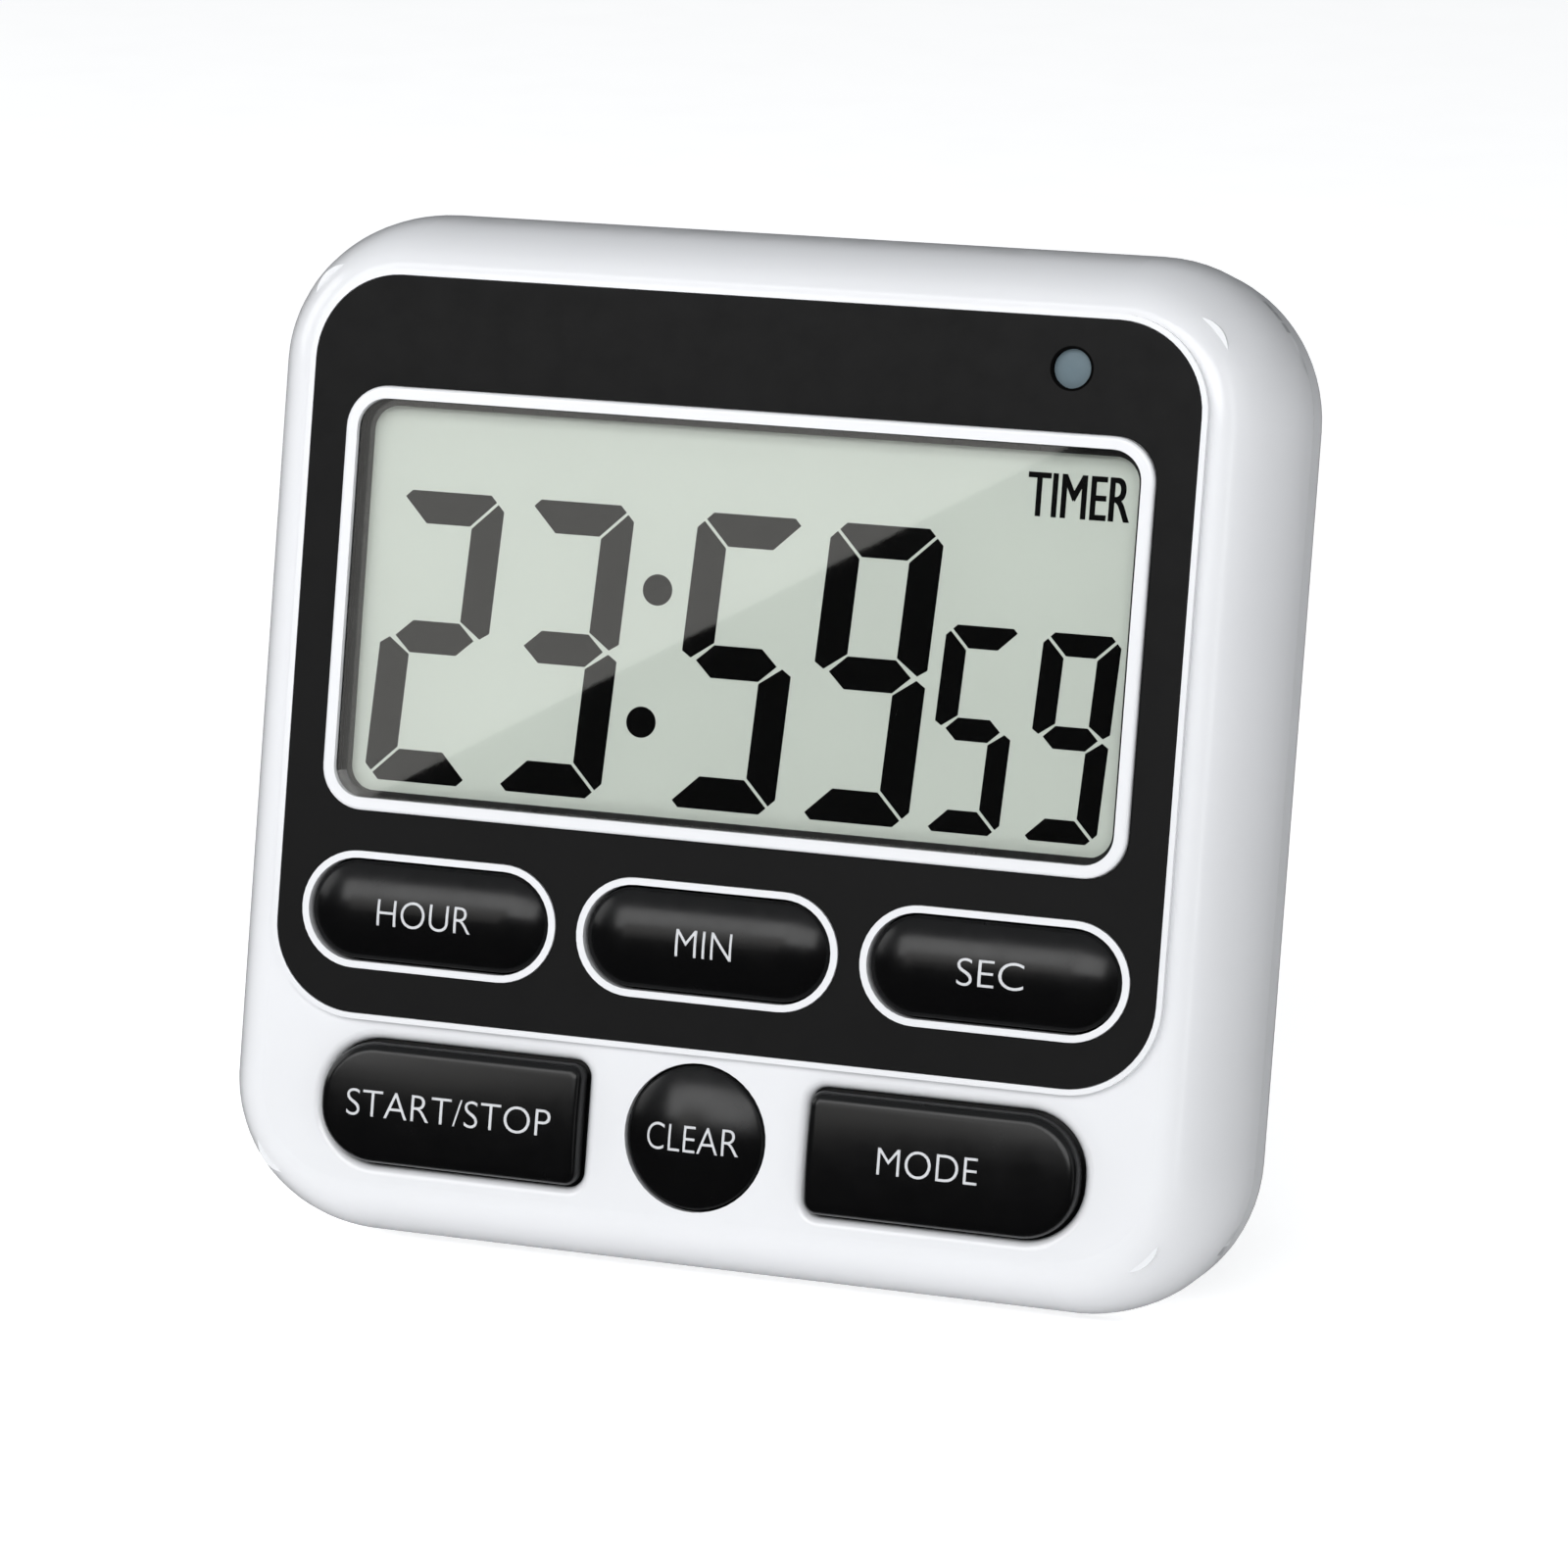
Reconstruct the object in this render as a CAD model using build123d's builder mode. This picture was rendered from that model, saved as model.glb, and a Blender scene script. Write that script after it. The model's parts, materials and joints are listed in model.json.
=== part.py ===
from build123d import *
import os
from math import cos, radians, sin, sqrt

# Pocket countdown timer with six keys, a liquid-crystal display, one AAA cell and a fold-out stand.
#
# Every piece is modelled in the case frame: X to the right seen from the front, Z up along the case
# from its bottom edge, and Y as depth behind the front surface of the black panel. Only when the
# pieces are written are they leant back on the open stand and set down on the table (Z = 0).

# ---------------------------------------------------------------- driving dimensions, millimetres
# Case
case_width = 83.4
case_height = 82.0
case_corner = 12.6  # corner radius of the outline
wall = 1.8
face_depth = 0.6  # the case's face lies this far behind the panel
edge_run = 5.1  # how far the rounded front edge runs in from the side
inner_run = 3.8  # the same, inside
seam_depth = 12.6  # end of the front shell
seam_gap = 0.45
rear_step = 0.2  # the rear shell stands in from the front one
seam_round = 0.22  # rounding of both shells' edges at the seam
back_depth = 19.2
rear_edge = 3.5  # rounding of the rear shell's outer edge
lip_thickness = 0.9
lip_reach = 1.4
fit_gap = 0.1  # between pieces that only have to drop in

# Black panel on its low platform
panel_width = 72.0
panel_height = 58.1
panel_corner = 6.9
panel_thickness = 0.3
panel_rim = 0.5
panel_top_margin = 5.5

# Display
frame_width = 65.8
frame_height = 33.4
frame_corner = 3.4
frame_wall = 1.0
frame_fillet = 0.3
frame_proud = 0.5
frame_rise = 3.65  # display centre above the panel centre
window_sink = 0.4  # window front behind the frame's top
window_thickness = 1.0
gasket_wall = 0.45
glass_width = 67.0
glass_height = 34.0
glass_thickness = 0.7
glass_ledge = 2.4  # the front glass reaches this much lower, for its contacts
reflector_thickness = 0.25
display_pocket = 0.4  # the shell is this much thinner round the glass
holder_wall = 1.0
strip_height = 1.4  # of the contact strip, up the case
holder_lip = 1.6
holder_back = 0.5
holder_foot = 0.6  # of the holder below the contact strip
ear_reach = 2.6
ear_thickness = 1.2
ear_radius = 1.4
ear_heights = (-7.5, 12.0)  # from the display centre

# Keys
key_gap = 0.2  # all round, between a key and its opening
key_travel = 0.7
key_flange = 0.8  # flange beyond the key's side
key_flange_thickness = 0.8
flange_gap = 0.05  # between a flange and the shell at rest
key_stop_gap = 0.3  # left between a pressed flange and its rubber dome's skirt
top_key_length = 19.9
top_key_height = 7.75
top_key_pitch = 23.2
top_key_drop = 20.9  # below the panel centre
top_key_rise = 1.25  # of the dome
top_key_edge = 0.25  # depth of the dome's edge
collar_wall = 0.55
collar_proud = 0.15
low_key_length = 21.8
low_key_height = 9.6
low_key_offset = 20.2
low_key_drop = 36.0
low_key_round = 4.45  # corner radius of the outer end
low_key_square = 1.1  # corner radius of the inner end
low_key_proud = 0.75  # beyond the panel plane
low_key_crown = 0.85
clear_key_radius = 5.6
clear_key_crown = 1.5
key_lip = 0.8  # rounding of the lower openings
plunger_length = 10.0
plunger_height = 4.0
plunger_radius = 1.9
plunger_corner = 1.2

# Rubber keypad and board
board_depth = 6.2  # front of the board
board_thickness = 1.0
board_half_width = 38.2
board_below_keys = 6.45  # from the lower row of keys to the board's lower edge
board_above_strip = 7.7  # from the contact strip to the board's upper edge
board_corner = 8.0
post_relief = 0.5  # round a post that passes the board
mat_thickness = 0.6
mat_half_width = 29.0
mat_margins = (4.95, 3.65)  # below the lower row of keys, above the upper row
dome_base_radius = 3.0
dome_top_radius = 2.0
dome_skin = 0.5
pill_radius = 1.3
pill_thickness = 0.3
rest_gap = 0.02  # between pieces that only touch

# On the board's back
chip_offset = (-5.0, -17.0)  # from the middle of the board's upper edge
chip_radius = 5.0
chip_rise = 1.3
crystal_offset = (4.0, -14.0)
crystal_radius = 1.0
crystal_length = 6.0
crystal_round = 0.2
component_offset = (12.0, -22.0)
component_size = (2.0, 1.2, 0.7)
component_pitch = (4.0, 5.2)
wire_radius = 0.45
wire_gap = 1.3
wire_bend = 2.0
lamp_wire_rise = 2.4  # of the lamp's wires behind the board
wire_drop = 1.4  # from the board's upper edge to where the wires meet it
battery_wire_x = 33.0
lamp_wire_x = 28.8

# Screws
case_screw_x = 34.6
case_screw_inset = 7.4  # from the top and bottom edges
case_screw_radius = 1.05
case_screw_head = 2.0
case_screw_head_height = 1.5
boss_radius = 2.6
boss_end = 11.0  # where the front and rear posts meet
pilot_start = 4.2  # end of the screw's hole
post_radius = 2.8
counterbore_radius = 2.2
counterbore_floor = 15.0
small_screw_radius = 0.7
small_screw_head = 1.5
small_screw_head_height = 0.8
small_post_radius = 1.25
board_screws_low = (35.8, 14.4)  # from the board's lower edge
board_screws_high = (36.4, -2.5)  # from its upper edge
screw_play = 0.05
screw_head_round = 0.4  # rounding of a head, as a share of its height
cross_depth = 0.6  # depth of the driver's cross, as a share of the head's height
cross_reach = 1.1  # length and width of its arms, as shares of the head's radius
cross_width = 0.26

# Indicator lamp, a 3 mm light-emitting diode
lamp_x = 25.7
lamp_rise = 25.2  # above the panel centre
lamp_radius = 1.5
lamp_play = 0.08
lamp_tip_depth = 0.15
lamp_dome = 0.35  # rise of the lens's nearly flat end
lamp_flange_radius = 1.9
lamp_flange_depth = 4.6
lamp_flange_thickness = 0.9

# Battery, AAA size
cell_radius = 5.25
cell_length = 44.5
cell_nub_radius = 1.9
cell_nub_length = 1.1
cell_rise = 8.9  # of its axis above the display's centre
tub_play = 0.45
tub_floor = 1.0
tub_half_length = 25.0
tub_wall = 1.2
rim_wall = 2.0  # round the door's pocket
contact_thickness = 0.4
contact_size = 8.0
contact_bump = 0.9
spring_radius = 3.0
spring_wire = 0.35
spring_turns = 3.5
spring_bite = 0.035  # how far the first coil sinks into its plate
door_thickness = 1.5
door_half_length = 27.2
door_half_height = 7.4
door_gap = 0.2
door_corner = 1.5
ledge_thickness = 1.2
door_axis_back = 0.1  # hinge line in front of the back surface
door_axis_drop = 0.3  # and below the door's pocket
tab_width = 6.0
tab_places = (-15.0, 15.0)
tab_thickness = 0.7
tab_reach = 1.1
notch_width = 12.0  # finger notch above the door, and its grip grooves
notch_height = 2.8
notch_depth = 1.1
grip_pitch = 1.6
grip_rise = 2.96  # above the door's middle
grip_width = 0.8
grip_depth = 0.3
tail_height = 2.0  # contact tails that pass through the tub's ends
tail_reach = 4.0

# Stand
lean = 13.0  # degrees, back from upright
stand_width = 34.6
stand_thickness = 2.2
stand_hinge_height = 46.0
stand_length = 44.6  # from the hinge line to the centre of the foot's rounding
stand_pin_radius = 0.9
stand_pin_length = 1.5
stand_play = 0.05
stand_side_gap = 0.3
stand_recess = 2.6
stand_frame = 6.5  # border round the stand's shallow panel
stand_panel_depth = 0.6
stand_floor = 1.5
stand_cheek = 2.2  # wall beside the recess, which holds the pin

# Magnets, sliders, buzzer and hanging hole
magnet_radius = 6.0
magnet_thickness = 2.7
magnet_x = 28.5
magnet_height = 17.0
magnet_sink = 0.1
slider_x = 29.0
slider_drop = 6.0  # below the board's upper edge
slider_travel = 3.0
slider_plate = (9.0, 5.0, 1.0)
slider_neck = (3.0, 2.0)
slider_slot_play = 0.15
slider_knob = (3.6, 3.4, 0.7)
slider_corner = 0.5
slider_groove_pitch = 0.9
slider_dish_depth = 0.8
slider_dish = (10.5, 6.0)
fork_leg = 0.8
fork_overlap = 1.56  # of the fork past the lever's end
fork_width = 3.0
switch_body = (8.6, 4.0, 4.2)
switch_lever = (1.6, 2.0, 2.6)
buzzer_x = -29.0
buzzer_rise = 4.6  # above the board's upper edge
buzzer_radius = 7.0
buzzer_thickness = 0.3
ceramic_radius = 4.8
ceramic_thickness = 0.2
buzzer_seat = 0.6
buzzer_wall = 0.8
sound_hole_radius = 0.75
sound_hole_ring = 3.2
hang_radius = 2.8
hang_slot = 3.0
hang_slot_rise = 4.0
hang_drop = 9.6  # from the case's top to the round hole's centre

# ---------------------------------------------------------------- sizes that follow
half_width = case_width / 2
half_height = case_height / 2
panel_z = case_height - panel_top_margin - panel_height / 2
display_z = panel_z + frame_rise
opening_width = frame_width - 2 * frame_wall
opening_height = frame_height - 2 * frame_wall
opening_corner = frame_corner - frame_wall
inner_face = face_depth + wall
window_front = window_sink - frame_proud
window_back = window_front + window_thickness
glass_front = inner_face - display_pocket + rest_gap
glass_middle = glass_front + glass_thickness
glass_back = glass_middle + rest_gap + glass_thickness
reflector_back = glass_back + rest_gap + reflector_thickness
glass_bottom = display_z - glass_height / 2
holder_rear = reflector_back + rest_gap + holder_back
ear_front = holder_rear - ear_thickness
holder_half_width = glass_width / 2 + fit_gap + holder_wall
holder_top = display_z + glass_height / 2 + fit_gap + holder_wall
strip_z = glass_bottom - fit_gap - strip_height / 2
holder_bottom = strip_z - strip_height / 2 - fit_gap - holder_foot
ear_x = holder_half_width + ear_reach / 2
top_row_z = panel_z - top_key_drop
low_row_z = panel_z - low_key_drop
flange_front = inner_face + flange_gap
flange_back = flange_front + key_flange_thickness
mat_front = board_depth - mat_thickness
board_back = board_depth + board_thickness
dome_front = flange_back + key_travel + key_stop_gap
board_bottom = low_row_z - board_below_keys
board_top = strip_z + board_above_strip
mat_span = (low_row_z - mat_margins[0], top_row_z + mat_margins[1])
chip_place = (chip_offset[0], board_top + chip_offset[1])
crystal_place = (crystal_offset[0], board_top + crystal_offset[1])
component_centre = (component_offset[0], board_top + component_offset[1])
wire_board_height = board_top - wire_drop
cell_height = display_z + cell_rise
slider_height = board_top - slider_drop
buzzer_height = board_top + buzzer_rise
screw_heights = (case_screw_inset, case_height - case_screw_inset)
screw_places = [(x, z) for x in (-case_screw_x, case_screw_x) for z in screw_heights]
board_screw_low = (board_screws_low[0], board_bottom + board_screws_low[1])
board_screw_high = (board_screws_high[0], board_top + board_screws_high[1])
board_places = [
    (side * x, z) for side in (-1, 1) for x, z in (board_screw_low, board_screw_high)
]
ear_places = [(side * ear_x, display_z + rise) for side in (-1, 1) for rise in ear_heights]
top_keys = {"hour": -top_key_pitch, "minute": 0.0, "second": top_key_pitch}
lamp_z = panel_z + lamp_rise
lamp_back = lamp_flange_depth + lamp_flange_thickness
rear_wall_inner = back_depth - wall
rear_start = seam_depth + seam_gap
door_front = back_depth - magnet_sink - door_thickness
cell_depth = door_front - fit_gap - cell_radius
tub_half_height = cell_radius + tub_play
tub_front = cell_depth - cell_radius - fit_gap - tub_floor
cell_start = tub_half_length - contact_thickness - contact_bump - cell_length
door_axis_depth = back_depth - door_axis_back
door_axis_z = cell_height - door_half_height - door_gap - door_axis_drop
stand_axis_depth = back_depth - stand_recess / 2 - stand_play
stand_floor_depth = back_depth - stand_recess
stand_end = stand_thickness / 2


def lean_height(depth, height):
    """Height above an arbitrary level of a case-frame point once the case leans back."""
    return height * cos(radians(lean)) - depth * sin(radians(lean))


# The stand opens until its foot is level with the rounded rear edge that the case rests on.
table_level = lean_height(back_depth - rear_edge, rear_step + rear_edge) - rear_edge
foot_drop = lean_height(stand_axis_depth, stand_hinge_height) - table_level - stand_end
stand_past_plumb = sqrt(stand_length**2 - foot_drop**2)
stand_angle = lean + Vector(foot_drop, stand_past_plumb).get_angle(Vector(1, 0))


# ---------------------------------------------------------------- planes and shared shapes
def at_depth(depth):
    """A plane across the case at this depth, facing the front: its x is X and its y is Z."""
    return Plane(origin=(0, depth, 0), x_dir=(1, 0, 0), z_dir=(0, -1, 0))


def across(x):
    """A plane across the case's width at this X: its x is Y (depth) and its y is Z."""
    return Plane(origin=(x, 0, 0), x_dir=(0, 1, 0), z_dir=(1, 0, 0))


def along(height):
    """A level plane at this height up the case: its x is X and its y is Y (depth)."""
    return Plane.XY.offset(height)


def edge_section(half, run, face, full, end):
    """Section across the case: flat at depth face, rounded to the side by depth full, open at end."""
    start = -90 if face < full else 0
    with BuildSketch(mode=Mode.PRIVATE) as section:
        with BuildLine():
            Line((half - run, face), (0, face))
            Line((0, face), (0, end))
            Line((0, end), (half, end))
            if full != end:
                Line((half, end), (half, full))
            EllipticalCenterArc((half - run, full), run, abs(full - face), start, arc_size=90)
        make_face()
        mirror(about=Plane.YZ)
    return section.sketch


def case_solid(inset, run, face, full, end):
    """A solid with the case's outline, inset all round, and one rounded edge at depth face."""
    side = half_width - inset
    tall = half_height - inset
    corner = case_corner - inset
    upright = Plane(origin=(0, 0, half_height), x_dir=(0, 0, 1), z_dir=(-1, 0, 0))
    with BuildPart(mode=Mode.PRIVATE) as shape:
        with BuildSketch(along(half_height)):
            add(edge_section(side, run, face, full, end))
        extrude(amount=tall - corner, both=True)
        with BuildSketch(upright):
            add(edge_section(tall, run, face, full, end))
        extrude(amount=side - corner, both=True)
        for x in (-(side - corner), side - corner):
            for z in (half_height - tall + corner, half_height + tall - corner):
                with BuildSketch(Plane(origin=(x, 0, z), x_dir=(1, 0, 0), z_dir=(0, 0, 1))):
                    with BuildSketch(mode=Mode.PRIVATE) as half_section:
                        add(edge_section(corner, run, face, full, end))
                        with Locations((corner, (face + end) / 2)):
                            Rectangle(2 * corner, 2 * abs(end - face), mode=Mode.INTERSECT)
                    add(half_section.sketch)
                revolve(axis=Axis((x, 0, z), (0, 1, 0)))
    return shape.part


def low_key_outline(side, grow):
    """Outline of a lower corner key, rounder at its outer end: side is -1 or 1."""
    length = low_key_length + 2 * grow
    height = low_key_height + 2 * grow
    with BuildSketch(mode=Mode.PRIVATE) as outline:
        Rectangle(length, height)
        outer = outline.vertices().group_by(Axis.X)[-1 if side > 0 else 0]
        fillet(outer, low_key_round + grow)
        inner = outline.vertices().group_by(Axis.X)[0 if side > 0 else -1]
        fillet(inner, low_key_square + grow)
    return outline.sketch


def clear_key_outline(grow):
    """Outline of the round lower key."""
    with BuildSketch(mode=Mode.PRIVATE) as outline:
        Circle(clear_key_radius + grow)
    return outline.sketch


def top_key_outline(grow):
    """Outline of an upper key: a slot shape lying across the case."""
    with BuildSketch(mode=Mode.PRIVATE) as outline:
        SlotOverall(top_key_length + 2 * grow, top_key_height + 2 * grow)
    return outline.sketch


# Every key: its outline as a function of growth, and its centre across the front.
key_places = {f"{name}_key": (x, top_row_z) for name, x in top_keys.items()}
key_places["start_stop_key"] = (-low_key_offset, low_row_z)
key_places["clear_key"] = (0.0, low_row_z)
key_places["mode_key"] = (low_key_offset, low_row_z)


def key_outline(name, grow):
    """The named key's outline, grown all round, about its own centre."""
    if name == "start_stop_key":
        return low_key_outline(-1, grow)
    if name == "mode_key":
        return low_key_outline(1, grow)
    if name == "clear_key":
        return clear_key_outline(grow)
    return top_key_outline(grow)


def screw(place, front, rear, radius, head_radius, head_height):
    """A pan-head screw along the depth, its head behind rear, with a cross recess."""
    with BuildPart(mode=Mode.PRIVATE) as made:
        with BuildSketch(at_depth(rear)):
            with Locations(place):
                Circle(radius)
        extrude(amount=rear - front)
        with BuildSketch(at_depth(rear + head_height)):
            with Locations(place):
                Circle(head_radius)
        extrude(amount=head_height)
        rim = made.faces().sort_by(Axis.Y)[-1].edges()
        fillet(rim, head_height * screw_head_round)
        with BuildSketch(at_depth(rear + head_height)):
            with Locations(place):
                Rectangle(head_radius * cross_reach, head_radius * cross_width)
                Rectangle(head_radius * cross_width, head_radius * cross_reach)
        extrude(amount=head_height * cross_depth, mode=Mode.SUBTRACT)
    return made.part


def wire(bend, *points):
    """An insulated wire along straight runs with rounded corners."""
    with BuildPart(mode=Mode.PRIVATE) as made:
        with BuildLine() as route:
            FilletPolyline(*points, radius=bend)
        start = route.wires()[0]
        with BuildSketch(Plane(origin=start @ 0, z_dir=start % 0)):
            Circle(wire_radius)
        sweep(path=start)
    return made.part


# ---------------------------------------------------------------- front of the case
rim_width = panel_width + 2 * panel_rim
rim_height = panel_height + 2 * panel_rim
collar_grow = key_gap + collar_wall

with BuildPart() as front_housing:
    add(case_solid(0, edge_run, face_depth, seam_depth, seam_depth))
    add(case_solid(wall, inner_run, inner_face, seam_depth, seam_depth), mode=Mode.SUBTRACT)
    fillet(front_housing.faces().sort_by(Axis.Y)[-1].outer_wire().edges(), seam_round)
    # platform that the panel lies in
    with BuildSketch(at_depth(inner_face)):
        with Locations((0, panel_z)):
            RectangleRounded(rim_width, rim_height, panel_corner + panel_rim)
    extrude(amount=inner_face)
    with BuildSketch(at_depth(panel_thickness + rest_gap)):
        with Locations((0, panel_z)):
            RectangleRounded(panel_width + fit_gap, panel_height + fit_gap, panel_corner)
    extrude(amount=face_depth, mode=Mode.SUBTRACT)
    # pocket behind, which brings the display close to the panel
    with BuildSketch(at_depth(inner_face)):
        with Locations((0, (holder_top + glass_bottom - glass_ledge) / 2)):
            Rectangle(
                2 * (holder_half_width + fit_gap),
                holder_top - glass_bottom + glass_ledge + 2 * fit_gap,
            )
    extrude(amount=display_pocket, mode=Mode.SUBTRACT)
    # raised frame round the display
    with BuildSketch(at_depth(inner_face - display_pocket)):
        with Locations((0, display_z)):
            RectangleRounded(frame_width, frame_height, frame_corner)
    extrude(amount=inner_face - display_pocket + frame_proud)
    frame_top = front_housing.faces().filter_by(Axis.Y).sort_by(Axis.Y)[0]
    fillet(frame_top.edges(), frame_fillet)
    with BuildSketch(at_depth(inner_face)):
        with Locations((0, display_z)):
            RectangleRounded(opening_width, opening_height, opening_corner)
    extrude(amount=inner_face + 2 * frame_proud, mode=Mode.SUBTRACT)
    # collars and openings of the keys
    for name, place in key_places.items():
        if place[1] == top_row_z:
            with BuildSketch(at_depth(inner_face)):
                with Locations(place):
                    add(key_outline(name, collar_grow))
            extrude(amount=inner_face + collar_proud)
        with BuildSketch(at_depth(inner_face)):
            with Locations(place):
                add(key_outline(name, key_gap))
        extrude(amount=2 * inner_face, mode=Mode.SUBTRACT)
    # rounded mouths of the lower openings
    mouth_edges = [
        edge
        for edge in front_housing.edges()
        if abs(edge.bounding_box().min.Y - face_depth) < 0.01
        and abs(edge.bounding_box().max.Y - face_depth) < 0.01
        and low_row_z - low_key_height < edge.center().Z < low_row_z + low_key_height
        and abs(edge.center().X) < low_key_offset + low_key_length / 2 + 1
        and edge.bounding_box().max.Z < low_row_z + low_key_height / 2 + 1
        and edge.bounding_box().min.Z > low_row_z - low_key_height / 2 - 1
    ]
    fillet(mouth_edges, key_lip)
    # room for the flanges where the rounded inside runs in under them
    with BuildSketch(at_depth(flange_back + key_travel)):
        for name, place in key_places.items():
            with Locations(place):
                add(key_outline(name, key_flange + fit_gap))
    extrude(amount=flange_back + key_travel - inner_face, mode=Mode.SUBTRACT)
    # hole for the lamp
    with BuildSketch(at_depth(inner_face)):
        with Locations((lamp_x, lamp_z)):
            Circle(lamp_radius + lamp_play)
    extrude(amount=inner_face, mode=Mode.SUBTRACT)
    # posts for the case screws, and the small posts for the board and the display
    with BuildSketch(at_depth(boss_end)):
        with Locations(*screw_places):
            Circle(boss_radius)
    extrude(amount=boss_end - inner_face + face_depth)
    with BuildSketch(at_depth(boss_end)):
        with Locations(*screw_places):
            Circle(case_screw_radius + screw_play)
    extrude(amount=boss_end - pilot_start, mode=Mode.SUBTRACT)
    with BuildSketch(at_depth(board_depth - rest_gap)):
        with Locations(*board_places):
            Circle(small_post_radius)
    extrude(amount=board_depth - inner_face + face_depth)
    with BuildSketch(at_depth(ear_front - rest_gap)):
        with Locations(*ear_places):
            Circle(small_post_radius)
    extrude(amount=ear_front - inner_face + face_depth)
    with BuildSketch(at_depth(board_depth)):
        with Locations(*ear_places):
            Circle(ear_radius + fit_gap)
    extrude(amount=board_depth - ear_front + rest_gap, mode=Mode.SUBTRACT)
    with BuildSketch(at_depth(board_depth)):
        with Locations(*board_places):
            Circle(small_screw_radius + screw_play)
    extrude(amount=board_depth - inner_face, mode=Mode.SUBTRACT)
    with BuildSketch(at_depth(ear_front)):
        with Locations(*ear_places):
            Circle(small_screw_radius + screw_play)
    extrude(amount=ear_front - inner_face, mode=Mode.SUBTRACT)
front_housing.part.label = "front_housing"

with BuildPart() as panel_overlay:
    with BuildSketch(at_depth(panel_thickness)):
        with Locations((0, panel_z)):
            RectangleRounded(panel_width, panel_height, panel_corner)
        with Locations((0, display_z)):
            RectangleRounded(
                frame_width + fit_gap, frame_height + fit_gap, frame_corner, mode=Mode.SUBTRACT
            )
        for name, place in key_places.items():
            if place[1] == top_row_z:
                with Locations(place):
                    add(key_outline(name, collar_grow + fit_gap / 2), mode=Mode.SUBTRACT)
        with Locations((lamp_x, lamp_z)):
            Circle(lamp_radius + 2 * lamp_play, mode=Mode.SUBTRACT)
    extrude(amount=panel_thickness)
panel_overlay.part.label = "panel_overlay"

# ---------------------------------------------------------------- display stack
window_width = opening_width - fit_gap
window_height = opening_height - fit_gap

with BuildPart() as display_window:
    with BuildSketch(at_depth(window_back)):
        with Locations((0, display_z)):
            RectangleRounded(window_width, window_height, opening_corner)
    extrude(amount=window_thickness)
display_window.part.label = "display_window"

with BuildPart() as display_gasket:
    with BuildSketch(at_depth(glass_front - rest_gap)):
        with Locations((0, display_z)):
            RectangleRounded(window_width, window_height, opening_corner)
            RectangleRounded(
                window_width - 2 * gasket_wall,
                window_height - 2 * gasket_wall,
                opening_corner - gasket_wall,
                mode=Mode.SUBTRACT,
            )
    extrude(amount=glass_front - window_back - 2 * rest_gap)
display_gasket.part.label = "display_gasket"

with BuildPart() as front_glass:
    with BuildSketch(at_depth(glass_middle)):
        with Locations((0, display_z - glass_ledge / 2)):
            Rectangle(glass_width, glass_height + glass_ledge)
    extrude(amount=glass_thickness)
front_glass.part.label = "front_glass"

with BuildPart() as rear_glass:
    with BuildSketch(at_depth(glass_back)):
        with Locations((0, display_z)):
            Rectangle(glass_width, glass_height)
    extrude(amount=glass_thickness)
rear_glass.part.label = "rear_glass"

with BuildPart() as reflector:
    with BuildSketch(at_depth(reflector_back)):
        with Locations((0, display_z)):
            Rectangle(glass_width, glass_height)
    extrude(amount=reflector_thickness)
reflector.part.label = "reflector"

with BuildPart() as display_holder:
    with BuildSketch(at_depth(holder_rear)):
        with Locations((0, (holder_top + holder_bottom) / 2)):
            Rectangle(2 * holder_half_width, holder_top - holder_bottom)
    extrude(amount=holder_back)
    # walls on three sides of the glass
    with BuildSketch(at_depth(holder_rear)):
        with Locations((0, (holder_top + glass_bottom) / 2)):
            Rectangle(2 * holder_half_width, holder_top - glass_bottom)
        with Locations((0, (holder_top - holder_wall + glass_bottom) / 2)):
            Rectangle(
                2 * (holder_half_width - holder_wall),
                holder_top - holder_wall - glass_bottom,
                mode=Mode.SUBTRACT,
            )
    extrude(amount=holder_rear - inner_face + display_pocket - rest_gap)
    # bar that carries the contact strip
    bar_top = glass_bottom + holder_wall
    with BuildSketch(at_depth(board_depth - mat_thickness)):
        with Locations((0, (bar_top + holder_bottom) / 2)):
            Rectangle(glass_width, bar_top - holder_bottom)
    extrude(amount=board_depth - mat_thickness - holder_rear + holder_back)
    with BuildSketch(at_depth(board_depth)):
        with Locations((0, strip_z)):
            Rectangle(glass_width - 4 * holder_wall, strip_height + 2 * fit_gap)
    extrude(amount=board_depth - glass_middle, mode=Mode.SUBTRACT)
    # light opening at the back
    with BuildSketch(at_depth(holder_rear)):
        with Locations((0, display_z + holder_wall)):
            Rectangle(glass_width - 2 * holder_lip, glass_height - 2 * holder_lip - holder_wall)
    extrude(amount=holder_back, mode=Mode.SUBTRACT)
    # screw ears
    with BuildSketch(at_depth(holder_rear)):
        for x, z in ear_places:
            with Locations((x, z)):
                Circle(ear_radius)
            with Locations((x - (ear_radius if x > 0 else -ear_radius) / 2, z)):
                Rectangle(ear_radius, 2 * ear_radius)
        with Locations(*ear_places):
            Circle(small_screw_radius + screw_play, mode=Mode.SUBTRACT)
    extrude(amount=ear_thickness)
display_holder.part.label = "display_holder"

with BuildPart() as contact_strip:
    with BuildSketch(at_depth(board_depth - rest_gap)):
        with Locations((0, strip_z)):
            Rectangle(glass_width - 4 * holder_wall - 2 * fit_gap, strip_height)
    extrude(amount=board_depth - glass_middle - 2 * rest_gap)
contact_strip.part.label = "contact_strip"

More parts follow.
